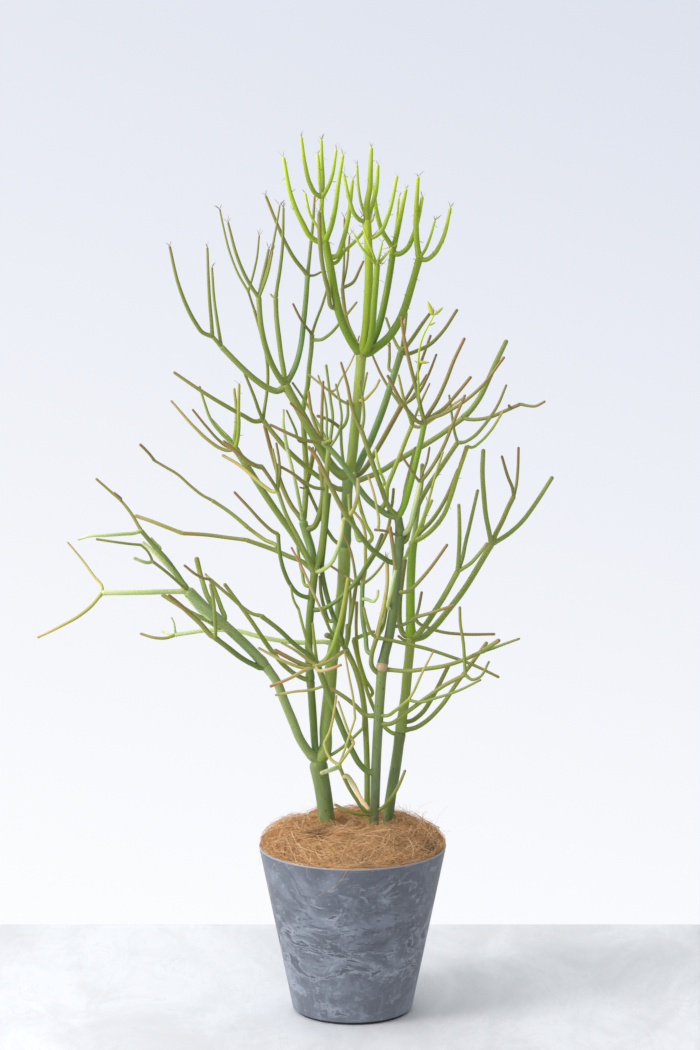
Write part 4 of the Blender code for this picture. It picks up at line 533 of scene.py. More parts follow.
    ("m", "a4", "a", 0.24, 0.21, 1, (-4, 35.8), (-2.5, 36.6), (-1.3, 37.5), (0, 38.7), (1.5, 40.2)),
    ("m", "", "a4", 0.21, 0.2, -1, (1.5, 41), (1.6, 41.8)),
    ("o", "a3s", "a3", 0.27, 0.21, 1.5, (-1.6, 65.9), (-2.4, 66.4), (-3.2, 67.5), (-4.3, 69.6), (-5.3, 71.8),
      (-6.3, 74.1)),
    ("o", "", "a3s", 0.18, 0.14, -1, (-6.9, 74.6), (-7.7, 75.3), (-8.7, 76.2)),
    ("o", "", "a3s", 0.24, 0.18, -3, (-6.1, 75.4), (-5.7, 77.4), (-5.4, 79.5)),
    ("o", "", "a3s", 0.19, 0.15, 2, (-5.9, 75.2), (-5.5, 77), (-5, 79.4)),
    ("o", "", "a3s", 0.15, 0.12, -2.5, (-6.9, 73.8), (-7.2, 73.9)),
    ("o", "a3m", "a3b", 0.36, 0.33, -1.5, (-2, 73.7), (-3, 74.2), (-4.3, 75.1), (-5.6, 76.1), (-7, 77.3), (-8.8, 79),
      (-10.5, 81), (-12.2, 83.2)),
    ("o", "", "a3m", 0.31, 0.2, -3, (-13.1, 83), (-15, 83.9), (-18, 85.6), (-21, 87.5), (-24.3, 89.8)),
    ("o", "", "a3m", 0.24, 0.18, -2, (-12.7, 84.4), (-13.3, 86.2), (-14, 88), (-14.7, 89.7)),
    ("o", "a3n", "a3m", 0.24, 0.21, 2, (-12, 84.6), (-11.7, 86.6), (-11.5, 89), (-11.7, 92), (-12.4, 95),
      (-13.3, 98.3)),
    ("n", "a3o", "a3n", 0.17, 0.16, 0, (-13.7, 99.5), (-14.1, 100.8)),
    ("o", "", "a3o", 0.17, 0.12, 2, (-15.5, 103.3), (-16.6, 106.2), (-17.4, 109.5), (-17.9, 112)),
    ("o", "", "a3o", 0.17, 0.12, -1, (-13.4, 103.2), (-12.9, 105.5), (-12.6, 108.4)),
    ("m", "a3u", "a3b", 0.66, 0.58, -2.5, (-1.9, 75.9), (-3.1, 77.2), (-4.2, 79), (-5.3, 81), (-6.6, 83.4),
      (-7.9, 85.8), (-9.2, 88.1)),
    ("m", "l1", "a3u", 0.45, 0.37, -2, (-10.2, 87.2), (-11.5, 87.6), (-13, 88.6), (-14.5, 89.9), (-16, 91.4),
      (-17.8, 93.3)),
    ("o", "", "l1", 0.24, 0.15, 2.5, (-18, 94.6), (-18.3, 96.5), (-18.7, 99.5), (-19, 104.1)),
    ("o", "l1b", "l1", 0.27, 0.26, -0.5, (-18.4, 94), (-19, 94.7)),
    ("o", "", "l1b", 0.26, 0.15, 0.5, (-19.1, 96.5), (-19.3, 99), (-19.5, 103), (-19.6, 106.8)),
    ("o", "", "l1b", 0.29, 0.18, -3, (-20.3, 95.2), (-21.2, 96.4), (-22.4, 98.7), (-23.6, 102), (-24.7, 107)),
    ("m", "l2", "a3u", 0.42, 0.36, -5, (-9.9, 89), (-11, 91), (-12, 94), (-12.5, 97), (-12.7, 100)),
    ("o", "", "l2", 0.26, 0.15, -2, (-13.4, 101), (-14.4, 102.7), (-15.6, 105.6), (-16.8, 110.2)),
    ("o", "", "l2", 0.26, 0.18, 2, (-12.4, 101.6), (-12, 103.4), (-11.3, 106.6)),
    ("o", "", "l2", 0.2, 0.15, -3, (-12.1, 101.4), (-11.4, 103.5), (-10.8, 106.3)),
    ("o", "", "l2", 0.2, 0.12, 3, (-11.9, 102.5), (-11, 106), (-10.3, 109.5), (-9.8, 112.5)),
    ("m", "l4", "a3u", 0.36, 0.33, 2, (-9.3, 89.5), (-9.7, 92), (-10, 94.5), (-10.3, 97.2), (-10.4, 99.9)),
    ("o", "", "l4", 0.26, 0.15, -2, (-10.2, 101.4), (-9.9, 103.2), (-9.5, 106.5), (-9.3, 112.2)),
    ("o", "", "l4", 0.17, 0.12, 1, (-10.9, 100.2), (-11.1, 100.5)),
    ("u", "l5", "a3u", 0.42, 0.35, 5, (-8.6, 88.9), (-7.8, 90.5), (-7.1, 93), (-6.6, 97), (-6.3, 100), (-6.1, 103)),
    ("o", "", "l5", 0.28, 0.18, -2, (-6.7, 103.8), (-7.6, 104.9), (-9, 107.3), (-10.4, 110.5), (-11.7, 113.8)),
    ("o", "", "l5", 0.26, 0.15, 2, (-5.9, 104.7), (-5.7, 106.7), (-5.4, 109.5), (-5.1, 113.8)),
    ("o", "", "l5", 0.18, 0.14, 1, (-5.2, 103), (-4.2, 103.5)),
    ("u", "r1", "a3b", 0.5, 0.46, 5, (0.6, 76.5), (1.4, 78.2), (2.3, 80), (3.2, 82.2), (4.2, 84.9), (5.3, 88.4),
      (6.6, 92.6)),
    ("o", "", "r1", 0.24, 0.16, 3, (6.1, 93.3), (5.5, 94.5), (4.5, 97.3)),
    ("o", "", "r1", 0.24, 0.18, 1, (6.8, 94), (7.1, 96), (7.3, 98)),
    ("o", "", "r1", 0.29, 0.21, -2, (7.5, 93.6), (8.5, 95), (9.5, 96.5), (10.6, 98)),
    ("o", "", "r1", 0.28, 0.21, 2, (7.4, 92.3), (8.7, 92.7), (10.5, 93.6), (12, 95.1), (14.2, 98.4)),
    ("o", "", "r1", 0.24, 0.18, 3, (5.1, 90), (5, 91.8), (5, 93.9)),
    ("n", "r2", "a3b", 0.38, 0.34, 7, (0.9, 75.7), (2, 76.9), (3, 78.6), (4.2, 80.7), (5.4, 82.9), (6.6, 85.1)),
    ("n", "", "r2", 0.21, 0.15, 3, (6, 86), (5.2, 87.2), (4, 89.2), (2.6, 92.3)),
    ("n", "", "r2", 0.24, 0.18, 2, (7.3, 86.2), (8.2, 87.8), (9.1, 90.6), (10.6, 94.9)),
    ("n", "", "r2", 0.21, 0.15, -2, (7.6, 85.7), (8.8, 86.7), (10.1, 89), (11.4, 92.3)),
    ("n", "", "r2", 0.18, 0.14, 4, (7.4, 85.6), (8.8, 87.4), (10.1, 89.5)),
    ("m", "r3", "a3b", 0.38, 0.36, 1.5, (0.6, 74.8), (2, 75.3), (4, 76.2), (6, 77.5), (8.3, 78.9), (10, 79.9),
      (12, 81.2), (13.6, 82.4), (15, 83.5)),
    ("m", "", "r3", 0.4, 0.31, 3, (16, 84.5), (17.2, 86.2), (18.4, 88.7), (19.4, 91), (20.9, 94.2)),
    ("n", "r3b", "r3", 0.26, 0.25, -3, (15.8, 83.3), (17.2, 83.3), (18.7, 83.6), (20.6, 84.4), (22.8, 85.4)),
    ("n", "", "r3b", 0.21, 0.16, -1, (23.6, 85.2), (24.8, 85.1), (26.2, 85.8)),
    ("n", "", "r3b", 0.19, 0.18, -0.5, (21.2, 85.3)),
    ("c", "k1", "a3c", 0.6, 0.53, -3, (0.3, 93.3), (-0.6, 94.8), (-1.6, 97.2), (-2.4, 100.5), (-3, 104),
      (-3.7, 107.6)),
    ("k", "", "k1", 0.38, 0.22, -2, (-4.6, 107.6), (-5.5, 108.1), (-6.8, 110.2), (-8.2, 113.5), (-9.3, 119)),
    ("k", "k1b", "k1", 0.34, 0.3, 0.5, (-4, 109.6), (-4.2, 111.6), (-4.1, 113.6)),
    ("k", "", "k1b", 0.32, 0.19, -1.5, (-4.9, 114), (-5.7, 115.3), (-6.4, 118), (-6.9, 121.7)),
    ("k", "", "k1b", 0.32, 0.21, 2.5, (-4.4, 116), (-4.7, 119.4)),
    ("k", "", "k1b", 0.29, 0.19, -3, (-3.5, 114.6), (-2.8, 116.4), (-2.2, 120)),
    ("k", "", "k1b", 0.29, 0.19, 1, (-4, 115.6), (-4.1, 118), (-4.2, 121.3)),
    ("k", "", "k1", 0.36, 0.22, -3, (-3, 109.3), (-2.4, 111.8), (-1.9, 115.5), (-1.3, 119.3)),
    ("k", "", "k1", 0.2, 0.16, 2, (-4.5, 109.2), (-5.6, 111), (-6.4, 114.2)),
    ("o", "k2", "k1", 0.31, 0.29, -4, (-2.6, 98.6), (-3.3, 101), (-4, 104), (-4.4, 107.5), (-4.5, 111.6)),
    ("k", "", "k1", 0.26, 0.19, 3, (-2.3, 104.7), (-1.2, 106.2), (0.3, 107.6), (2.8, 110.7)),
    ("k", "", "k1", 0.35, 0.22, 1.5, (-2.2, 105.6), (-1.4, 107.4), (-0.7, 110.2), (0, 116)),
    ("n", "k4", "a3c", 0.3, 0.25, 5, (0.2, 94.4), (-0.7, 96.5), (-1.1, 98.5), (-1.4, 101.3)),
    ("n", "", "k4", 0.17, 0.12, 1, (-1.2, 104), (-1.1, 110.8)),
    ("n", "", "k4", 0.17, 0.12, 2, (-0.9, 103.5), (-0.4, 108.4)),
    ("n", "", "k4", 0.24, 0.15, 1.5, (0, 102), (0.9, 103.7), (1.5, 105)),
    ("k", "k5", "a3c", 0.64, 0.55, -4, (1.6, 94), (1.9, 96.5), (2.1, 100), (2.2, 104), (2.1, 107.5), (1.95, 110.6)),
    ("k", "", "k5", 0.29, 0.19, -2, (1.2, 110.4), (0.4, 111.1), (-0.4, 113.2), (-1.2, 116.8)),
    ("k", "", "k5", 0.19, 0.16, 1, (1.3, 112.2), (0.8, 114.8), (0.6, 118)),
    ("k", "", "k5", 0.43, 0.26, -1, (1.9, 112.4), (2.3, 114.8), (2.4, 117.3), (2.5, 120.3)),
    ("k", "", "k5", 0.35, 0.22, 3, (2.5, 112.2), (3, 113.8), (3.3, 115.8), (3.4, 118)),
    ("k", "", "k5", 0.29, 0.21, -2, (2.8, 108.2), (3.7, 108.8), (4.7, 110.9), (6, 116.5)),
    ("c", "k6", "a3c", 0.48, 0.41, -7, (1.7, 92.6), (2.3, 93.8), (2.7, 96), (2.9, 99), (3.15, 102), (3.3, 104.4)),
    ("k", "", "k6", 0.19, 0.14, -1, (2.2, 105.6), (1.2, 106.8), (0.2, 108.6)),
    ("k", "", "k6", 0.19, 0.14, 1, (2.7, 106), (2.1, 107.4), (1.4, 109.5)),
    ("k", "", "k6", 0.19, 0.14, -1.5, (3.6, 105.6), (4, 107.5)),
    ("k", "", "k6", 0.19, 0.14, -1, (4.1, 105.3), (5.3, 106.8)),
    ("c", "k7", "a3c", 0.52, 0.44, 4, (2.3, 93.3), (3.1, 94.8), (3.8, 97), (4.4, 99.7), (4.95, 102.8), (5.5, 106.6)),
    ("k", "", "k7", 0.35, 0.22, -2, (4.8, 107.7), (4, 109), (3.3, 111.3), (2.8, 115.2)),
    ("k", "", "k7", 0.38, 0.24, 1, (5.9, 108.4), (6.4, 110.8), (7.2, 114.7)),
    ("k", "", "k7", 0.2, 0.16, 3, (5.8, 109), (6, 111), (6.2, 113.5)),
    ("k", "", "k7", 0.36, 0.22, -1, (6.2, 105.9), (7.2, 106.5), (8.2, 108.5), (8.9, 111), (9.4, 113.7)),
    ("c", "k8", "a3c", 0.57, 0.48, 1, (2.2, 92.5), (3.4, 93.3), (4.8, 94.5), (6, 96.2), (7, 98.4), (7.8, 101),
      (9, 105.3)),
    ("k", "", "k8", 0.41, 0.24, 2, (8.7, 107.2), (8.55, 109.8), (8.6, 112.5), (8.8, 116.4)),
    ("k", "", "k8", 0.22, 0.16, -2, (9.8, 106.5), (10.4, 108), (11.1, 110.5)),
    ("k", "", "k8", 0.32, 0.21, -1, (9.8, 105.1), (10.9, 105.8), (12, 107.6), (13.2, 112.2)),
    ("m", "a5", "a3b", 0.24, 0.21, -3, (-1.15, 77), (-1.5, 79.5), (-1.6, 82)),
    ("n", "", "a5", 0.24, 0.21, -2, (-2.4, 82.7), (-3.6, 83.4), (-4.9, 83.8)),
    ("m", "", "a5", 0.24, 0.16, 1.5, (-1.1, 82.5), (-0.7, 83.6), (-0.7, 86)),
    ("y", "", "a3c", 0.21, 0.14, -4, (-0.5, 85.4), (-1.4, 85.8), (-2.8, 86.9), (-4.3, 88.1), (-6, 89.5)),
    ("y", "", "a3c", 0.24, 0.16, -5, (1.3, 85.9), (2.4, 86.8), (3.2, 87.8), (3.7, 88.8)),
]

stemMiddleRows = [
    ("b", "b", "", 0.68, 0.68, -0.6, (3, 17.5), (3, 27.2), (3.1, 30), (3.25, 35), (3.5, 40), (3.8, 45), (4.05, 48.7)),
    ("s", "b2", "b", 0.66, 0.64, -0.4, (4.4, 50.5), (5, 53), (5.5, 56), (5.9, 59.5), (6.2, 63), (6.5, 67.3)),
    ("s", "b3", "b2", 0.6, 0.52, 0, (6.4, 68.5), (6.2, 69.8)),
    ("q", "", "b", 0.70, 0.68, -0.9, (4.05, 48.9), (4.05, 49.1)),
    ("o", "", "b", 0.26, 0.2, -2, (2, 27.9), (1, 27.9), (-0.8, 28.4), (-2.5, 29.3)),
    ("o", "", "b", 0.26, 0.19, -2, (3.8, 28.6), (4.8, 29.5), (6.2, 31.6), (7.3, 34.2)),
    ("o", "b1", "b", 0.25, 0.26, -3.5, (2, 28.3), (0.4, 30.2), (-0.9, 32.5), (-1.9, 34.9)),
    ("y", "b1a", "b1", 0.22, 0.21, 0.8, (-2.9, 35.6), (-3.6, 36.8), (-3.9, 38)),
    ("y", "", "b1a", 0.2, 0.14, -1, (-3.2, 39.5), (-2.7, 41.5), (-2.2, 44.8)),
    ("y", "b1b", "b1", 0.2, 0.19, -1, (-0.7, 36.6), (0.2, 38)),
    ("y", "", "b1b", 0.19, 0.14, 0, (-0.5, 39.5), (-1.2, 41.5), (-2, 44)),
    ("q", "", "b1", 0.35, 0.25, -4, (-0.9, 33.3), (0, 32.3), (1.2, 30), (2.3, 28.5)),
    ("p", "", "b1", 0.35, 0.28, -5, (-3, 34.2), (-4.4, 33.7)),
    ("y", "b1c", "b1", 0.17, 0.16, -1.5, (-1, 37.3), (-0.3, 39.5), (0.35, 41.5)),
    ("y", "", "b1c", 0.17, 0.12, 0, (0.1, 44.3), (-0.5, 47.5), (-1.1, 51)),
    ("d", "b5", "b", 0.42, 0.42, -2.2, (2.3, 33.9), (1.1, 34.9), (0, 36.8), (-1, 39), (-2.4, 42.5), (-3.6, 45.7),
      (-4.8, 49)),
    ("l", "", "b5", 0.33, 0.25, 1, (-3.8, 49.7), (-2.9, 51.2), (-2, 54), (-1.3, 57), (-0.6, 61.3)),
    ("m", "", "b5", 0.24, 0.16, 1, (-5, 50.2), (-5.2, 52), (-5.5, 55)),
    ("m", "b5c", "b5", 0.24, 0.18, -1, (-5.4, 50.2), (-6.2, 52.3), (-6.8, 54.4), (-7.4, 56.9)),
    ("m", "", "b5c", 0.18, 0.14, -1, (-8, 58), (-8.5, 60.3)),
    ("d", "b5d", "b5", 0.33, 0.31, -2, (-5.6, 50), (-8, 52), (-10.3, 54.2), (-12.6, 56)),
    ("o", "b5e", "b5d", 0.24, 0.21, 0, (-13.6, 56.2), (-15, 57.1), (-16.8, 58.7), (-19.5, 61.1)),
    ("n", "", "b5e", 0.2, 0.16, -2, (-20.3, 61.2), (-21.5, 61.8), (-23.1, 63.1)),
    ("o", "", "b5e", 0.18, 0.15, 1, (-19.9, 61.5), (-20.2, 61.9)),
    ("y", "", "b5", 0.24, 0.16, -4, (-6, 49.7), (-8, 51.2), (-9.9, 52.3)),
    ("o", "", "b", 0.33, 0.25, 1.2, (1.8, 42), (0.2, 43.5), (-1.5, 44.8), (-3.4, 46)),
    ("y", "b6", "b5", 0.2, 0.16, -2, (-5.4, 45.6), (-8, 45.3), (-10.7, 44.8)),
    ("o", "b7", "b", 0.3, 0.28, -4, (5, 40.7), (7.5, 42.4), (10, 44.3), (12.5, 46.1), (15.5, 47.7)),
    ("o", "", "b7", 0.24, 0.19, 1, (15.4, 49.6), (15.2, 52.3), (14.8, 54.8), (14.7, 57.3)),
    ("o", "", "b7", 0.21, 0.16, -1, (16.4, 47), (17.4, 47.3), (18.8, 49.6)),
    ("m", "b8", "b", 0.24, 0.23, -3, (4.8, 41.9), (6, 42.7), (7.7, 44.1)),
    ("y", "", "b8", 0.19, 0.14, -1, (8.4, 45.3), (9.4, 47.6), (11.1, 51)),
    ("m", "", "b8", 0.21, 0.16, -2, (9.3, 43.8), (11.5, 44.4), (14.5, 45.4), (17.7, 47)),
    ("o", "b9", "b", 0.34, 0.31, -1, (3.3, 48.1), (2.7, 48.8), (2.6, 50.3), (3, 51.9), (3.3, 52.9)),
    ("o", "", "b9", 0.24, 0.2, -1, (2.6, 53.5), (2, 55), (1.5, 57.2)),
    ("y", "", "b9", 0.28, 0.25, 0.5, (3.7, 54.8), (4.2, 57), (4.7, 60), (4.7, 64.2)),
    ("o", "", "b9", 0.26, 0.21, 1.5, (4, 54), (4.5, 56), (4.8, 58.5)),
    ("o", "", "b9", 0.26, 0.19, 1.5, (4.5, 52.7), (7.5, 52), (10, 51.4), (13, 50.4), (16.5, 49.1), (20.2, 47.3)),
    ("u", "b9g", "b9", 0.32, 0.31, 3, (2.3, 50.8), (1.8, 53), (1.35, 56), (1.35, 60.5)),
    ("y", "", "b9g", 0.26, 0.19, 1, (1.7, 62), (1.75, 65), (1.7, 67.6), (1.2, 69.2), (0.2, 70.5)),
    ("p", "", "b9g", 0.24, 0.19, -3, (1.9, 58.3), (2.9, 58), (3.4, 58.7), (3.5, 59.6)),
    ("o", "b10", "b", 0.3, 0.27, -2.5, (4.9, 48.4), (7.5, 48.2), (10, 48.5), (12.5, 48.9), (14.8, 49.6), (17.9, 51)),
    ("o", "", "b10", 0.21, 0.16, -1, (19, 51.3), (20.3, 51.8), (23, 52.8)),
    ("o", "", "b10", 0.31, 0.3, -2.5, (18.6, 51.5), (20.2, 52.6)),
    ("o", "b12", "b2", 0.24, 0.23, 0.5, (6.1, 54.5), (7.5, 55), (8.7, 55.8)),
    ("n", "", "b12", 0.2, 0.18, 1, (9, 56.8), (9.5, 59.4)),
    ("n", "", "b12", 0.24, 0.2, -1.5, (10.5, 56.3), (12.3, 56.9), (14.1, 57.5)),
    ("n", "", "b12", 0.24, 0.19, 2, (9, 55), (10.4, 54.3), (12.3, 53.7), (15, 53.4), (19.6, 53.4)),
    ("n", "", "b2", 0.26, 0.2, -3, (7.2, 59.3), (8, 59.7), (9.2, 60.9), (10.6, 62.6), (13, 66)),
    ("p", "b13", "b2", 0.25, 0.23, -2.5, (5.1, 57), (5.3, 59.4), (5.9, 62.5)),
    ("n", "", "b13", 0.29, 0.25, -1, (5.7, 64.2), (5.4, 66.4), (5.1, 68.5)),
    ("d", "b14", "b2", 0.36, 0.34, -3.5, (5.2, 63.5), (4, 64.2), (2.7, 65.2), (1.5, 66.6), (0.4, 68.2), (-0.8, 69.9)),
    ("n", "", "b14", 0.35, 0.25, -1, (-1.7, 71.5), (-2.9, 73.9), (-3.9, 76), (-5, 78.2), (-6.1, 79.6)),
    ("l", "b14c", "b14", 0.26, 0.23, 2.5, (2.6, 66.6), (1.8, 68.8), (1.1, 71), (0.6, 73.5), (0.2, 76)),
    ("m", "", "b14", 0.29, 0.22, 4, (1, 66.5), (0.3, 68.4), (-0.3, 70.4), (-0.5, 73)),
    ("n", "b15", "b2", 0.2, 0.18, -2, (5.6, 67.4), (4.6, 67.8), (3, 68)),
    ("y", "", "b15", 0.19, 0.15, -1, (3.6, 69), (3.3, 71.2), (2.8, 73.4), (2.1, 75.6)),
    ("u", "b4", "b3", 0.42, 0.37, -1.5, (5, 70), (3.5, 71), (2, 72.3), (1, 73.6), (0, 75.2), (-1.2, 77),
      (-2.6, 78.7), (-4.2, 80.3)),
    ("n", "", "b4", 0.26, 0.19, -2, (-5, 80.2), (-6.4, 80.4), (-8.4, 81.2), (-11.3, 82.6)),
    ("o", "", "b4", 0.24, 0.21, -2, (-3.6, 80.2), (-2.8, 80.4)),
    ("n", "", "b4", 0.26, 0.19, 1, (-4.8, 81.8), (-5.5, 83.8), (-6, 87.2)),
    ("n", "", "b4", 0.24, 0.18, -1, (-4.2, 82), (-4.15, 85), (-4, 88.6)),
    ("n", "", "b4", 0.21, 0.16, -3, (-4.9, 81.2), (-6.2, 83.2), (-8.5, 85.6)),
    ("o", "", "b4", 0.21, 0.19, 2, (5.3, 71.2), (5.5, 72.4), (5.6, 73.8)),
    ("o", "b16", "b3", 0.36, 0.31, -3.5, (5.2, 70.8), (4.6, 71.9), (4, 73.6), (3.2, 75.8), (2.4, 78.2), (1.2, 81.8)),
    ("n", "", "b16", 0.26, 0.16, -1, (0.5, 83.2), (-0.2, 85.4), (-0.7, 88), (-1.6, 91.2)),
    ("o", "b16b", "b16", 0.22, 0.19, -0.5, (1.5, 83), (1.5, 85), (1.3, 86.5)),
    ("o", "", "b16b", 0.18, 0.15, -1, (1.1, 87.5), (1, 88.6)),
    ("o", "", "b16b", 0.19, 0.15, 1.5, (1.6, 88), (2, 89.8)),
    ("k", "b17", "b16", 0.2, 0.15, -1.5, (4.2, 74.2), (3.8, 76), (3.4, 77.6), (3.1, 79.2)),
    ("l", "b18", "b4", 0.32, 0.29, 3, (4.5, 71.8), (4.7, 73.8), (5.5, 76), (6.4, 78.2), (7.3, 80.6), (8.1, 82.5)),
    ("y", "", "b18", 0.24, 0.16, 2, (8.9, 82.2), (9.8, 82.6), (11, 83.4), (12.6, 84.6), (15.1, 86.3)),
    ("l", "", "b18", 0.24, 0.16, -2, (7.8, 83.5), (7.2, 85.2), (6.2, 89.5)),
    ("n", "", "b18", 0.18, 0.12, -1, (8.5, 83.6), (9.1, 85.2), (10.5, 88.3)),
    ("h", "b19", "b3", 0.42, 0.37, -1, (6.9, 71), (7.6, 73.2), (8.3, 76), (8.9, 78.6), (9.4, 80.8), (9.8, 82.9)),
    ("n", "", "b19", 0.28, 0.2, -3, (9, 82.9), (8, 83.9), (6.6, 85.8), (4.7, 89.4)),
    ("n", "", "b19", 0.29, 0.2, -2, (9.4, 84.3), (8.7, 87.3), (7.7, 91.2), (6.9, 95), (6.6, 97.4)),
    ("k", "b19s", "b19", 0.18, 0.11, -4, (9.2, 84.5), (8.95, 88), (8.9, 91), (9.3, 94), (11, 97.6)),
    ("n", "", "b19", 0.29, 0.21, 3, (10.2, 83.8), (11.3, 85.6), (12.6, 88.4), (13.7, 91.3), (15.2, 94.5)),
    ("n", "", "b19", 0.26, 0.18, -2, (10.6, 83.4), (12, 83.9), (14.2, 85.1), (17, 87.3), (20.6, 91.9)),
    ("n", "", "b19", 0.26, 0.21, 1, (10.8, 83.7), (12.4, 84.8), (14, 86.6), (16.1, 89.2)),
    ("m", "b20", "b3", 0.3, 0.25, 3.5, (6.9, 71.6), (7.3, 74), (7.9, 76.5), (8.6, 79.5)),
    ("p", "b21", "b2", 0.36, 0.31, -1.5, (7.3, 67.7), (7.9, 68.7), (8.3, 70.4), (8.8, 72.6), (9.2, 74.6)),
    ("n", "", "b21", 0.2, 0.15, -2, (8.7, 75.2), (7.8, 76.6), (6.5, 78.5)),
    ("n", "", "b21", 0.18, 0.14, 1, (9.5, 75.8), (10.1, 77.4), (10.5, 79.5)),
    ("n", "", "b21", 0.26, 0.18, -3, (9.8, 75.3), (11, 77), (12.4, 79.6), (13.6, 82.6), (15.3, 86.7)),
    ("o", "b22", "b2", 0.34, 0.31, 1.4, (7.1, 66.4), (7.7, 68), (8.4, 69.8), (9.2, 71.9), (10.4, 74.1), (12, 76.6),
      (14.3, 80.1)),
    ("o", "", "b22", 0.2, 0.15, 1, (13.9, 81.4), (13.6, 83.2), (13.1, 86.7)),
    ("o", "", "b22", 0.24, 0.16, -2, (15, 80.1), (16.2, 80.7), (18, 82.6), (19.7, 85.2), (20.9, 88.1)),
    ("l", "b23", "b2", 0.22, 0.15, -3.5, (7, 64), (7.7, 65.4), (8.6, 67.2), (9.5, 69.3), (10.3, 71.8), (11.2, 75.2),
      (12.3, 78.8)),
    ("l", "", "b23", 0.22, 0.21, 1.2, (9.2, 68.3), (9.9, 69.9), (10.9, 72.2)),
]

stemBackRows = [
    ("m", "d", "", 0.42, 0.4, 0, (2, 17.5), (2, 27.2), (2, 35), (1.8, 40), (1.6, 43), (1, 46.5), (0.2, 49),
      (-1, 51.4)),
    ("d", "d2", "d", 0.35, 0.31, 2, (-1.6, 53), (-2.3, 55), (-3, 57), (-3.8, 60), (-4.2, 62.5), (-4, 65), (-3.7, 68),
      (-3.4, 71), (-3.2, 73)),
    ("m", "", "d2", 0.26, 0.2, 0.8, (-3, 55.2), (-3.9, 57.2), (-4.3, 59), (-4.5, 61.6)),
    ("m", "d3", "d", 0.24, 0.21, -3.2, (-2, 52.5), (-3, 53.8), (-3.6, 55.2), (-4.2, 56.6)),
    ("r", "", "d3", 0.2, 0.14, -3, (-4.8, 57.9), (-5.9, 60.4), (-6.9, 62.7), (-8.4, 65.6)),
    ("y", "d4", "d", 0.28, 0.26, -9.5, (-1.5, 50.8), (-2.5, 50), (-4, 49.2), (-5.7, 48.7)),
    ("y", "", "d4", 0.24, 0.18, -2, (-7, 48.7), (-9, 49.4), (-13, 51.5)),
    ("n", "", "d4", 0.32, 0.28, -1, (-7, 49.2), (-9, 50.2), (-10.8, 51.2)),
    ("r", "", "d4", 0.26, 0.2, -4, (-6.8, 48.2), (-8.6, 47.2), (-11.4, 46)),
    ("r", "", "d4", 0.24, 0.18, -3, (-4.9, 48.4), (-3.4, 48.4), (-1.5, 49.1)),
    ("o", "d5", "d", 0.3, 0.27, -0.5, (-0.7, 53.2), (-0.1, 56.5), (0.3, 59), (0.5, 60.5)),
    ("n", "", "d5", 0.21, 0.15, 1.5, (-0.4, 61.1), (-1.6, 62), (-3.2, 63.1)),
    ("n", "", "d5", 0.2, 0.14, 1, (0.3, 62.2), (-0.2, 64.8), (-1.2, 67.5)),
    ("l", "", "d5", 0.21, 0.15, 1.5, (1.2, 60.4), (2.2, 61), (3.4, 62.2), (4.6, 63.9)),
    ("o", "", "d5", 0.31, 0.22, 3, (1.2, 61.7), (2.6, 63.9), (3.9, 66), (4.8, 68), (5.2, 69.9)),
    ("m", "", "d", 0.24, 0.19, -2, (-0.8, 52.9), (-0.8, 54.8)),
    ("o", "d6", "d", 0.24, 0.21, 1.6, (-0.6, 52.6), (-0.4, 55), (-0.3, 58), (-0.5, 61)),
]

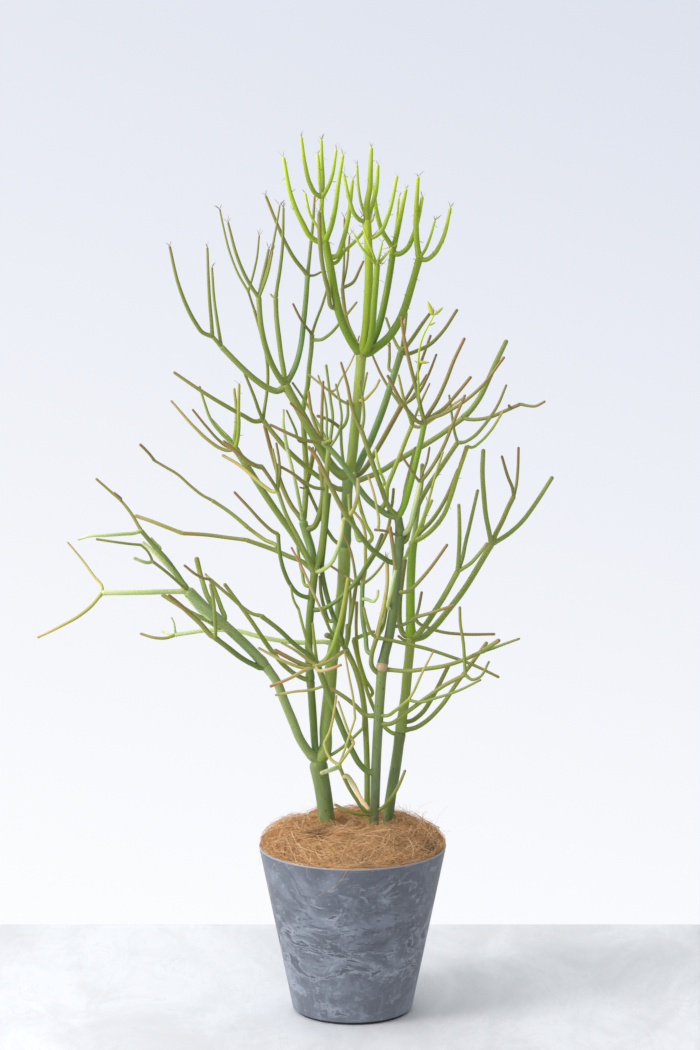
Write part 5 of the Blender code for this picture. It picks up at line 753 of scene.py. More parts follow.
stemRightRows = [
    ("s", "c", "", 0.78, 0.73, 0.5, (4.9, 17.5), (4.9, 27.2), (5.3, 30.5), (6, 35), (6.6, 39.6)),
    ("m", "c2", "c", 0.7, 0.64, 0.5, (6.9, 42), (7.3, 45), (7.5, 47.5), (7.75, 50), (8, 53)),
    ("h", "c3", "c2", 0.64, 0.56, 0.5, (7.95, 55.5), (7.95, 60), (8.05, 63), (8.3, 66.4)),
    ("l", "c4", "c", 0.28, 0.25, 1.4, (5.6, 39.4), (4.6, 40.1), (3.4, 42), (2.2, 44.8), (1.4, 47.4), (0.7, 49.9),
      (0.1, 52.6)),
    ("l", "", "c4", 0.28, 0.25, -0.5, (0.9, 53), (3.1, 53.8)),
    ("l", "", "c4", 0.24, 0.21, 0.8, (2.6, 44.8), (1.7, 47.2), (0.9, 50), (0.5, 54), (0.6, 58)),
    ("o", "", "c", 0.33, 0.25, -3, (7.5, 39.9), (8.7, 40.2), (10, 41), (12, 43), (14.7, 47), (16.6, 49.6),
      (18.5, 52.3)),
    ("o", "", "c", 0.33, 0.28, 2, (7.2, 40.9), (8.2, 41.2), (9.4, 42.1), (11, 44.5), (12.4, 47.3), (13.3, 49.2)),
    ("o", "", "c2", 0.38, 0.33, 2, (7, 53.4), (6.5, 54.8), (6.4, 57), (6.7, 60.5), (7.2, 64)),
    ("o", "", "c2", 0.21, 0.18, -0.5, (7.2, 52.5), (6.2, 53.2)),
    ("m", "c5", "c2", 0.4, 0.37, -3, (8.8, 53.3), (9.8, 54.4), (11.2, 56.5), (12.6, 58.8), (14.4, 62.2)),
    ("m", "", "c5", 0.31, 0.22, -2, (14.5, 63.8), (14.6, 66), (14.6, 69), (14.5, 71.6)),
    ("m", "", "c5", 0.28, 0.22, 3, (15, 63.9), (15.4, 66), (16, 68.6), (17.1, 73.6)),
    ("m", "", "c5", 0.27, 0.25, -1, (15.1, 62.6), (16, 63.2), (17.3, 64.6), (18.5, 66.2)),
    ("m", "c6", "c2", 0.44, 0.42, 5, (8.6, 52.8), (9.6, 53), (11, 54.2), (13, 56.6), (15.5, 60), (17.4, 63.2),
      (19, 66)),
    ("m", "", "c6", 0.34, 0.31, -3, (18.7, 67.5), (18.2, 70), (17.9, 73), (17.7, 76), (17.8, 79.2)),
    ("o", "c6b", "c6", 0.36, 0.33, 1, (19.6, 67.5), (20.4, 69.1), (21.2, 71), (22, 72.7)),
    ("n", "", "c6b", 0.24, 0.18, -2, (21.8, 73.8), (21.2, 75.3), (20.3, 78.3)),
    ("n", "", "c6b", 0.22, 0.18, 2, (22.3, 74), (22.5, 76), (22.6, 79.5)),
    ("m", "", "c6", 0.33, 0.28, 3, (19.9, 66.5), (21.4, 67.5), (23.2, 69.2), (24.8, 71.4), (27.3, 75.4)),
    ("l", "c7", "c3", 0.34, 0.29, -3, (9.1, 66.7), (10.2, 67.4), (11.4, 68.6), (12.5, 70.2), (13.4, 72.6),
      (14.3, 75.6), (15.6, 79.6)),
    ("l", "", "c7", 0.2, 0.15, 1, (16.2, 79.4), (17.3, 80.1), (18.7, 81.6), (20.5, 84.5)),
    ("o", "c8", "c3", 0.3, 0.23, 3, (9.4, 67.8), (10.6, 69), (11.8, 70.7), (12.8, 72.5), (14.4, 76.5)),
    ("m", "c9", "c3", 0.34, 0.29, 6, (8.6, 68.5), (9, 71.5), (9.4, 74.5), (9.5, 77.2)),
]

stemRows = {
    "stem_left": stemLeftRows,
    "stem_middle": stemMiddleRows,
    "stem_back": stemBackRows,
    "stem_right": stemRightRows,
}

# foot colour, tip colour, share of the length where the tip colour starts, grey bloom, dark spots
barkFinishes = {
    "t": ((0.265, 0.360, 0.120), (0.270, 0.375, 0.120), 0.20, 0.55, 0.40),
    "s": ((0.125, 0.185, 0.056), (0.155, 0.215, 0.056), 0.30, 0.35, 0.95),
    "b": ((0.130, 0.175, 0.068), (0.295, 0.380, 0.078), 0.40, 0.30, 0.80),
    "q": ((0.400, 0.400, 0.180), (0.720, 0.530, 0.350), 0.15, 0.10, 0.30),
    "m": ((0.240, 0.320, 0.052), (0.295, 0.335, 0.070), 0.35, 0.28, 0.20),
    "g": ((0.255, 0.350, 0.062), (0.400, 0.500, 0.110), 0.25, 0.35, 0.20),
    "h": ((0.225, 0.380, 0.022), (0.215, 0.310, 0.040), 0.40, 0.05, 0.12),
    "d": ((0.150, 0.230, 0.038), (0.200, 0.245, 0.048), 0.50, 0.20, 0.25),
    "u": ((0.175, 0.285, 0.074), (0.245, 0.340, 0.086), 0.50, 0.35, 0.15),
    "p": ((0.450, 0.570, 0.215), (0.660, 0.720, 0.380), 0.30, 0.30, 0.10),
    "o": ((0.230, 0.280, 0.046), (0.295, 0.280, 0.062), 0.40, 0.15, 0.25),
    "n": ((0.240, 0.250, 0.050), (0.305, 0.200, 0.060), 0.25, 0.12, 0.30),
    "y": ((0.440, 0.440, 0.110), (0.510, 0.430, 0.160), 0.15, 0.15, 0.20),
    "r": ((0.490, 0.440, 0.190), (0.520, 0.225, 0.100), 0.35, 0.10, 0.20),
    "l": ((0.300, 0.395, 0.052), (0.400, 0.395, 0.070), 0.20, 0.05, 0.10),
    "c": ((0.190, 0.310, 0.022), (0.280, 0.385, 0.020), 0.25, 0.05, 0.12),
    "k": ((0.285, 0.410, 0.020), (0.490, 0.630, 0.034), 0.10, 0.03, 0.06),
}

stemValues = {
    "ringStep": 0.40,         # centimetres between the rings of a tube
    "waver": 0.05,            # share by which a branch swells and thins
    "collar": 0.17,           # swelling where a branch leaves another
    "knuckle": 0.10,          # swelling at an end that bears branches
    "crownKnuckle": 0.03,     # the same in the crown
    # the sides of a tube, for branches from one foot radius to another, in metres
    "sides": ((0.0, 0.0026, 10), (0.0026, 0.0052, 14), (0.0052, 1.0, 22)),
    "dryEnd": 1.1,            # centimetres of browning at a tip, and its colour
    "dryColour": (0.20, 0.105, 0.055),
    "freshEnd": 2.5,          # centimetres of yellow at a crown tip, and its colour
    "freshColour": (0.56, 0.64, 0.07),
}


def carried(x, z, depth):
    scale = 1 - depth / eye[1]
    return Vector((eye[0] + (x - eye[0]) * scale, depth, eye[2] + (z - eye[2]) * scale))


def rootOn(line, x, z):
    # the place on a branch's line nearest to (x, z), with the branch's radius there
    best = None
    for (ax, ay, az, ar), (bx, by, bz, br) in zip(line, line[1:]):
        t = ((x - ax) * (bx - ax) + (z - az) * (bz - az)) / ((bx - ax) ** 2 + (bz - az) ** 2)
        t = max(0, min(1, t))
        spot = (ax + (bx - ax) * t, ay + (by - ay) * t, az + (bz - az) * t, ar + (br - ar) * t)
        far = math.hypot(x - spot[0], z - spot[2])
        if best is None or far < best[0]:
            best = (far, spot)
    return best[1]


def branchesOf(stem):
    # every branch as a dictionary with its points in space, in centimetres
    lines = {}
    branches = []
    bearing = {row[2] for row in stemRows[stem]}
    for order, (finish, key, parent, foot, tip, depth, *points) in enumerate(stemRows[stem]):
        start, rootRadius = footDepth[stem], 0
        if parent:
            x, start, z, rootRadius = rootOn(lines[parent], *points[0])
            points = [(x, z)] + points
        travelled = [0]
        for a, b in zip(points, points[1:]):
            buried = not parent and a is points[0]
            travelled.append(travelled[-1] + (0 if buried else math.dist(a, b)))
        shares = [way / travelled[-1] for way in travelled]
        line = [(x, start + depth * math.sin(math.pi / 2 * share), z, foot + (tip - foot) * share)
                for (x, z), share in zip(points, shares)]
        lines[key] = line
        branches.append({
            "finish": finish, "foot": foot, "tip": tip, "rootRadius": rootRadius, "order": order,
            "bears": bool(key) and key in bearing,
            "points": [carried(x, z, y) for x, y, z, r in line],
        })
    return branches


def tangentAt(a, b, c):
    before, after = (b - a).length, (c - b).length
    return ((b - a) / before * after + (c - b) / after * before) / (before + after)


def curveThrough(points, step):
    # a smooth line through the points with a sample about every step
    if len(points) == 2:
        points = [points[0], (points[0] + points[1]) / 2, points[1]]
    ends = [points[0] * 2 - points[1]] + points + [points[-1] * 2 - points[-2]]
    samples = [points[0].copy()]
    for a, b, c, d in zip(ends, ends[1:], ends[2:], ends[3:]):
        gap = (c - b).length
        first, last = tangentAt(a, b, c), tangentAt(b, c, d)
        count = max(1, round(gap / step))
        for k in range(1, count + 1):
            t = k / count
            samples.append(b * (2 * t ** 3 - 3 * t ** 2 + 1) + first * gap * (t ** 3 - 2 * t ** 2 + t)
                           + c * (3 * t ** 2 - 2 * t ** 3) + last * gap * (t ** 3 - t ** 2))
    return samples


def ringsOf(branch):
    # (place, radius, distance from the foot, distance to the tip), in centimetres
    v = stemValues
    foot, tip, root, bears = (branch[name] for name in ("foot", "tip", "rootRadius", "bears"))
    samples = curveThrough(branch["points"], v["ringStep"])
    ways = [0]
    for a, b in zip(samples, samples[1:]):
        ways.append(ways[-1] + (b - a).length)
    total = ways[-1]
    ahead = (samples[-1] - samples[-2]).normalized()
    roundFrom = total - tip * (0.6 if bears else 0.9)
    rings = [(spot, way, 1) for spot, way in zip(samples, ways) if way < roundFrom - 0.12]
    for degrees in (0, 22, 42, 58, 72, 83, 89):
        way = roundFrom + tip * math.sin(math.radians(degrees))
        spot = samples[-1] + ahead * (way - total)
        if way < total:
            k = next(i for i in range(len(ways) - 1) if ways[i + 1] >= way)
            spot = samples[k].lerp(samples[k + 1], (way - ways[k]) / max(1e-6, ways[k + 1] - ways[k]))
        rings.append((spot, way, math.cos(math.radians(degrees))))
    out = []
    for spot, way, closing in rings:
        share = min(1, way / total)
        radius = foot + (tip - foot) * share ** (1.0 if bears else 1.7)
        wave = noise.noise(branch["points"][-1] * 3.1 + Vector((way * 0.45, 0, 0)))
        radius *= 1 + v["waver"] * wave * min(1, way)
        if root:
            off = (way - root * 1.05) / max(0.18, foot * 0.9)
            radius *= 1 + v["collar"] * math.exp(-off * off)
        if bears:
            off = (total - way) / (tip * 1.6)
            radius *= 1 + v["crownKnuckle" if branch["finish"] in "ck" else "knuckle"] * math.exp(-off * off)
        out.append((spot, radius * closing, way, total - way))
    return out


def toneOf(branch, way, toTip, light):
    v = stemValues
    finish, bears = branch["finish"], branch["bears"]
    foot, tip, start = barkFinishes[finish][:3]
    t = max(0, min(1, (way / max(0.01, way + toTip) - start) / max(0.05, 1 - start)))
    t = t * t * (3 - 2 * t) * (0.55 if bears else 1)
    colour = Vector(foot).lerp(Vector(tip), t) * light
    if not bears and toTip < v["dryEnd"] and finish not in "kl":
        near = (1 - max(0, toTip) / v["dryEnd"]) ** 2
        colour = colour.lerp(Vector(v["dryColour"]), 0.45 * near)
    if not bears and toTip < v["freshEnd"] and finish == "k":
        colour = colour.lerp(Vector(v["freshColour"]), 0.5 * (1 - max(0, toTip) / v["freshEnd"]))
    return (*colour, 1)


def makeStem(stem, tubes, finish):
    points, edges = [], []
    girth, stout, tone, run, wear = [], [], [], [], []
    for branch in branchesOf(stem):
        light = 1 + 0.13 * noise.noise(branch["points"][-1] * 7.3)
        bloom, spots = barkFinishes[branch["finish"]][3:]
        for k, (spot, radius, way, toTip) in enumerate(ringsOf(branch)):
            if k:
                edges.append((len(points) - 1, len(points)))
            points.append(spot * cm)
            girth.append(max(0.00004, radius * cm))
            stout.append(branch["foot"] * cm)
            tone.append(toneOf(branch, way, toTip, light))
            run.append((way * cm, toTip * cm, branch["order"] * 0.37))
            off = (way - branch["rootRadius"] * 1.1) / 0.22
            collar = math.exp(-off * off) if branch["rootRadius"] else 0
            wear.append((bloom, spots * min(1, (radius / 0.55) ** 2), collar * (0.15 + bloom)))
    line = meshWith(stem + "_line", points, edges, {
        "girth": ("FLOAT", girth), "stout": ("FLOAT", stout), "tone": ("FLOAT_COLOR", tone),
        "run": ("FLOAT_VECTOR", run), "wear": ("FLOAT_VECTOR", wear)})
    piece = tubes.run(line, {"Finish": finish}, stem + "_bark")
    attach(piece, "root")
    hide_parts(stem)
    print(stem, "has", len(piece.data.polygons), "faces")


def tubeTree():
    # tubes of girth along lines of points, with more sides on the stouter ones
    work = Growth("stemTubes", {"Finish": ("Material", None)})
    girth, stout = work.named("girth"), work.named("stout")
    joined = work.nodes.new("GeometryNodeJoinGeometry")
    for low, high, sides in stemValues["sides"]:
        between = work.product(work.calc("GREATER_THAN", stout, low), work.calc("LESS_THAN", stout, high + 1e-7))
        part = work.step("SeparateGeometry", {"Geometry": work.given["Geometry"], "Selection": between}, "Selection")
        curve = work.step("MeshToCurve", {"Mesh": part}, "Curve")
        work.links.new(work.tube(curve, girth, sides, True), joined.inputs["Geometry"])
    work.finish(joined.outputs["Geometry"], work.given["Finish"])
    return work


def greenBark():
    material, work, shader = newMaterial("greenBark", {
        "Specular IOR Level": 0.45, "Subsurface Weight": 0.12, "Subsurface Radius": (0.6, 1.0, 0.25),
        "Subsurface Scale": 0.002})
    ranged, product, stretched = work.ranged, work.product, work.stretched
    along, _, branch = work.parts(work.attribute("run"))
    bloom, spots, collar = work.parts(work.attribute("wear"))
    lobeX, lobeY, _ = work.parts(work.attribute("lobe"))
    girth = work.attribute("girth", "Fac")
    skin = work.joined(product(lobeX, girth), product(lobeY, girth), work.total(along, branch))
    # long faint stripes, cloudy bloom, then scars and specks
    stripes = work.noise(stretched(skin, (1, 1, 0.05)), 700, 2, 0.5)
    clouds = work.noise(stretched(skin, (1, 1, 0.3)), 110, 4, 0.55)
    wide = work.noise(work.place(), 22, 3, 0.5)
    powder = product(ranged(clouds, 0.42, 0.72), bloom)
    speck = work.put("ShaderNodeTexVoronoi", {"Vector": stretched(skin, (1, 1, 0.55)), "Scale": 230})
    middle = speck.outputs["Distance"]
    chance = work.put("ShaderNodeSeparateColor", {0: speck.outputs["Color"]}).outputs
    dots = product(product(ranged(middle, 0.30, 0.16), ranged(chance[0], 0.72, 0.78)), spots)
    pale = product(ranged(middle, 0.22, 0.10), ranged(chance[1], 0.86, 0.9))
    base = work.layered(
        work.attribute("tone", "Color"),
        (ranged(wide, 0.35, 0.65, 0, 0.5), (1.22, 1.06, 0.80), "MULTIPLY"),
        (ranged(stripes, 0.40, 0.7, 0, 0.16), (0.62, 0.74, 0.55), "MULTIPLY"),
        (product(powder, 0.5), (0.44, 0.52, 0.33)),
        (product(collar, 0.45), (0.36, 0.36, 0.22)),
        (product(dots, 0.8), (0.085, 0.055, 0.030)),
        (product(product(pale, bloom), 0.7), (0.50, 0.52, 0.34)))
    work.links.new(base, shader.inputs["Base Color"])
    work.feed(shader.inputs["Roughness"], ranged(clouds, 0.3, 0.7, 0.38, 0.58, "LINEAR"))
    relief = work.total(product(stripes, 0.25), product(dots, 0.8), product(clouds, 0.3))
    work.bumped(shader, relief, 0.0006, 0.5)
    return material


leafValues = {
    "tuftAbove": 0.985,       # twig tips above this height carry a tuft
    "tipLength": 0.0105,
    "sideLength": 0.0078,
    "sideSpacing": 0.018,
    "curlLength": 0.0125,
    "scarSpacing": 0.023,
    "scarRadius": 0.00044,
    "tipTones": ((0.42, 0.50, 0.07), (0.22, 0.20, 0.08), (0.30, 0.16, 0.08)),    # young, old, dry
    "sideTones": ((0.36, 0.40, 0.07), (0.40, 0.14, 0.09), (0.30, 0.17, 0.08), (0.22, 0.26, 0.06)),
    "curlTones": ((0.52, 0.17, 0.13), (0.42, 0.20, 0.10), (0.60, 0.24, 0.20)),
    "broadTone": (0.62, 0.66, 0.10),
    # flat yellow leaves on the shoot at the right of the crown: x, z, depth, aim, length
    "broadLeaves": ((8.95, 91.2, -4.0, (1, -0.2, 0.02), 1.6), (10.2, 96.2, -3.9, (1, -0.1, 0.45), 1.2),
                    (9.0, 91.0, -3.6, (-0.7, -0.3, 0.5), 0.8), (10.9, 97.5, -3.9, (-0.35, 0, 1), 2.2),
                    (11.0, 97.6, -3.9, (0.8, 0, 0.75), 1.7)),
    # shoots below the crown that are in leaf too: (x, z) of their tips on the elevation
    "leafyTips": ((11, 97.6), (3.1, 79.2), (15.6, 79.6), (12.3, 78.8), (9.4, 113.7), (-15.4, 88.2), (4.6, 63.9)),
    "seed": 7,
}


def bladeMesh(name, bend, width):
    # a slender blade one unit long along +Z, closed, thin across Y, bending towards +X
    shape = bmesh.new()
    rings = []
    for t, w in ((0, 0.35), (0.25, 1.0), (0.55, 0.95), (0.82, 0.6), (1, 0.08)):
        centre = Vector((bend * t * t, 0, t * (1 - 0.35 * abs(bend) * t)))
        half = width * w
        rings.append([shape.verts.new(centre + Vector((x * half, y * half, 0)))
                      for x, y in ((0.35, 1), (-0.12, 0.1), (0.35, -1), (0.30, 0))])
    for lower, upper in zip(rings, rings[1:]):
        for k in range(4):
            shape.faces.new([lower[k], lower[(k + 1) % 4], upper[(k + 1) % 4], upper[k]])
    shape.faces.new(rings[0][::-1])
    shape.faces.new(rings[-1])
    return meshOf(name, shape)


def scarMesh():
    shape = bmesh.new()
    bmesh.ops.create_icosphere(shape, subdivisions=1, radius=1)
    bmesh.ops.scale(shape, verts=shape.verts, vec=(0.6, 1.2, 0.3))
    return meshOf("scarShape", shape)


def scatterTree():
    work = Growth("scatterOnPoints", {"Shape": ("Object", None), "Finish": ("Material", None)})
    shape = work.step("ObjectInfo", {"Object": work.given["Shape"]})
    spread = work.step("InstanceOnPoints", {
        "Points": work.given["Geometry"], "Instance": shape, "Rotation": work.named("turn", "FLOAT_VECTOR"),
        "Scale": work.named("size")}, "Instances")
    work.finish(spread, work.given["Finish"])
    return work


def scattered(scatter, name, mesh, rows, finish):
    # one piece made of a copy of the mesh for each (point, aim, roll, size, tone), its +Z turned along the aim
    points, aims, rolls, sizes, tones = zip(*rows)
    turns = []
    for aim, roll in zip(aims, rolls):
        spin = Vector((0, 0, 1)).to_track_quat("Z", "Y").to_matrix()
        spin.rotate(Euler((0, 0, roll)))
        turns.append(tuple((aim.to_track_quat("Z", "Y").to_matrix() @ spin).to_euler("XYZ")))
    shape = placed(name + "Shape", mesh)
    spots = meshWith(name + "_points", points, [], {
        "turn": ("FLOAT_VECTOR", turns), "size": ("FLOAT", sizes),
        "tone": ("FLOAT_COLOR", [(*tone, 1) for tone in tones])})
    piece = scatter.run(spots, {"Shape": shape, "Finish": finish}, name)
    bpy.data.objects.remove(shape, do_unlink=True)
    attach(piece, "root")
    return piece


def turnFor(out, along):
    # the roll that lays a scar's long side across the branch
    flat = out.to_track_quat("Z", "Y").to_matrix().inverted() @ along
    return math.atan2(flat.y, flat.x)


def flecked(name, settings, scale, high, shade, strength):
    # a small part's finish: its own tone with darker flecks
    material, work, shader = newMaterial(name, settings)
    fleck = work.noise(work.place(), scale, 3, 0.6)
    tone = work.attribute("tone", "Color")
    base = work.blended(work.ranged(fleck, 0.4, 0.7, 0, high), tone, shade, "MULTIPLY")
    work.links.new(base, shader.inputs["Base Color"])
    work.bumped(shader, fleck, 0.0002, strength)
    return material


def tuftOn(end, ahead, side, young, rand):
    # the small leaves round the end of a twig
    v = leafValues
    across = ahead.cross(side)
    first = rand.uniform(0, math.tau)
    for k in range(rand.choice((2, 3, 3))):
        angle = first + k * math.tau / 2.7 + rand.uniform(-0.3, 0.3)
        out = side * math.cos(angle) + across * math.sin(angle)
        aim = (ahead + out * rand.uniform(0.35, 0.95)).normalized()
        tone = v["tipTones"][2 if rand.random() < 0.3 else 0 if young else 1]
        yield (end - ahead * 0.0004, aim, rand.uniform(0, math.tau), v["tipLength"] * rand.uniform(0.7, 1.25), tone)


def curlAt(branch, rand):
    # a withering pink leaf under the joint where a crown shoot starts
    v = leafValues
    out = Vector((rand.uniform(-1, 1), rand.uniform(-1, 0.2), rand.uniform(-0.3, 0.4))).normalized()
    spot = branch["points"][0] + out * branch["rootRadius"] * 0.9
    return (spot * cm, (out + Vector((0, 0, 0.3))).normalized(), rand.uniform(0, math.tau),
            v["curlLength"] * rand.uniform(0.7, 1.2), rand.choice(v["curlTones"]))


def makeLeavesAndScars():
    v = leafValues
    rand = random.Random(v["seed"])
    tips, sides, curls, scars = [], [], [], []
    for stem, rows in stemRows.items():
        for branch, row in zip(branchesOf(stem), rows):
            rings = ringsOf(branch)
            root = branch["rootRadius"]
            end = rings[-1][0] * cm
            ahead = (rings[-1][0] - rings[-8][0]).normalized() if len(rings) > 8 else Vector((0, 0, 1))
            side = ahead.cross(Vector((0.3, 1, 0.2))).normalized()
            crown = branch["finish"] in "ck"
            listed = any(math.dist(row[-1], tip) < 0.6 for tip in v["leafyTips"])
            young = crown or listed
            high = end.z > v["tuftAbove"] + (0 if young else 0.03)
            if not branch["bears"] and (listed or high):
                tips.extend(tuftOn(end, ahead, side, young, rand))
            if crown and root and rand.random() < 0.8:
                curls.append(curlAt(branch, rand))
            # a spiral of scars, with a leaf at some of them on young shoots
            spacing = v["sideSpacing"] if young else v["scarSpacing"]
            following = rand.uniform(0.3, 1.0) * spacing
            turn = rand.uniform(0, math.tau)
            for (spot, radius, way, toTip), (beyond, *_) in zip(rings, rings[1:]):
                if way * cm < following + root * cm or toTip < 0.4:
                    continue
                following = way * cm + spacing * rand.uniform(0.7, 1.3) - root * cm
                turn += 2.4
                along = (beyond - spot).normalized()
                side = along.cross(Vector((0.31, 0.9, 0.27))).normalized()
                out = side * math.cos(turn) + along.cross(side) * math.sin(turn)
                place = (spot + out * radius) * cm
                dark = rand.uniform(0.6, 1.1)
                size = v["scarRadius"] * rand.uniform(0.7, 1.3) * (0.55 + 1.1 * min(1, radius / 0.8))
                if not young or radius > 0.4:
                    scars.append((place, out, turnFor(out, along), size, (0.16 * dark, 0.090 * dark, 0.048 * dark)))
                if young and rand.random() < 0.8:
                    aim = (out + along * rand.uniform(-0.1, 0.7)).normalized()
                    tone = rand.choice(v["sideTones"])
                    sides.append((place - out * 0.0003, aim, rand.uniform(0, math.tau),
                                  v["sideLength"] * rand.uniform(0.6, 1.2), tone))
    broad = [(carried(x, z, depth) * cm, Vector(aim).normalized(), 0.3, length * cm, v["broadTone"])
             for x, z, depth, aim, length in v["broadLeaves"]]
    leafFinish = flecked("youngLeaf", {
        "Roughness": 0.5, "Subsurface Weight": 0.15, "Subsurface Radius": (0.8, 1.0, 0.3),
        "Subsurface Scale": 0.001}, 700, 0.4, (0.75, 0.72, 0.5), 0.4)
    scarFinish = flecked("corkyScar", {"Roughness": 0.75}, 1500, 0.5, (0.5, 0.45, 0.4), 0.5)
    scatter = scatterTree()
    flat = scattered(scatter, "broadLeaves", bladeMesh("broadBlade", 0.12, 0.15), broad, leafFinish)
    tufts = scattered(scatter, "tipLeaves", bladeMesh("tipBlade", 0.22, 0.052), tips, leafFinish)
    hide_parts(*[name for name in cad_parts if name.startswith("leaf_tuft")])
    side = scattered(scatter, "sideLeaves", bladeMesh("sideBlade", 0.75, 0.06), sides, leafFinish)
    wilted = scattered(scatter, "wiltedLeaves", bladeMesh("wiltedBlade", 1.25, 0.045), curls, leafFinish)
    marks = scattered(scatter, "leafScars", scarMesh(), scars, scarFinish)
    print("leaves", len(tips) + len(sides) + len(curls), "scars", len(scars))


coirValues = {
    "edgeRadius": 0.1262,
    "edgeHeight": 0.2345,
    "crown": 0.0250,          # how far the middle stands above the edge
    "fullness": 3.2,          # higher keeps the top flatter and the shoulder rounder
    "lumps": 0.0075,
    # x, y, width, depth, and how much darker the fibres are there
    "hollows": ((-0.044, -0.046, 0.019, 0.015, 0.72), (0.018, -0.026, 0.012, 0.006, 0.45),
                (0.108, -0.045, 0.016, 0.006, 0.5)),
    # x, y, width, rise
    "swells": ((0.040, -0.062, 0.030, 0.009), (-0.072, -0.030, 0.030, 0.005), (0.088, 0.020, 0.032, 0.007),
               (-0.03, -0.098, 0.026, 0.006)),
    "layers": (
        # name, fibres, points each, shortest, longest, thickness, lift, straying, seed
        ("coirWound", 2400, 13, 0.050, 0.150, 0.00027, 0.0040, 0.013, 3),
        ("coirLoose", 1500, 15, 0.045, 0.130, 0.00023, 0.0090, 0.028, 11),
        ("coirFine", 2200, 12, 0.025, 0.080, 0.00016, 0.0075, 0.040, 23),
    ),
    "strays": 120,
    "strayHome": (32, 38),    # degrees round the rim, and their spread, where most strays stand up
    "strayStep": 0.0022,
    "strayTop": 0.286,        # a stray ends at this height or this far out
    "strayReach": 0.137,
    "straySeed": 5,
    # a long fibre hanging over the front of the rim: degrees, height, distance off the wall
    "hanging": ((268, 0.2385, -0.010), (267.5, 0.2400, 0.002), (266, 0.232, 0.0012), (263, 0.220, 0.0008),
                (258, 0.208, 0.0010), (251.5, 0.199, 0.0022), (247, 0.193, 0.0032)),
    "sides": 120,
    "steps": 40,
}


def mounding(x, y):
    # the height of the mat's surface
    v = coirValues
    share = min(1.0, math.hypot(x, y) / v["edgeRadius"])
    height = v["edgeHeight"] + v["crown"] * (1 - share ** v["fullness"])
    height += v["lumps"] * noise.fractal(Vector((x * 30, y * 30, 0.7)), 1.0, 2.1, 4) * (1 - 0.6 * share ** 6)
    for hx, hy, size, depth, dark in v["hollows"]:
        height -= depth * math.exp(-((x - hx) ** 2 + (y - hy) ** 2) / (size * size))
    for hx, hy, size, rise in v["swells"]:
        height += rise * math.exp(-((x - hx) ** 2 + (y - hy) ** 2) / (size * size)) * (1 - share ** 5)
    return height


def makeCoirBody():
    v = coirValues
    edge, top, low = v["edgeRadius"], v["edgeHeight"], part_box("coir_mat")[0].z
    outline = [(edge * 0.985 * i / v["steps"], mounding) for i in range(v["steps"] + 1)]
    outline += [(edge * out, top + (low - top) * drop) for drop, out in ((0.35, 1.0), (0.7, 0.995), (1.0, 0.98))]
    shape = bmesh.new()
    revolve(shape, outline + [(0, low)], v["sides"])
    body = placed("coirBody", meshOf("coirBody", shape))
    body.data.shade_smooth()
    body.data.materials.append(coirFelt())
    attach(body, "root")
    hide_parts("coir_mat")
    return body


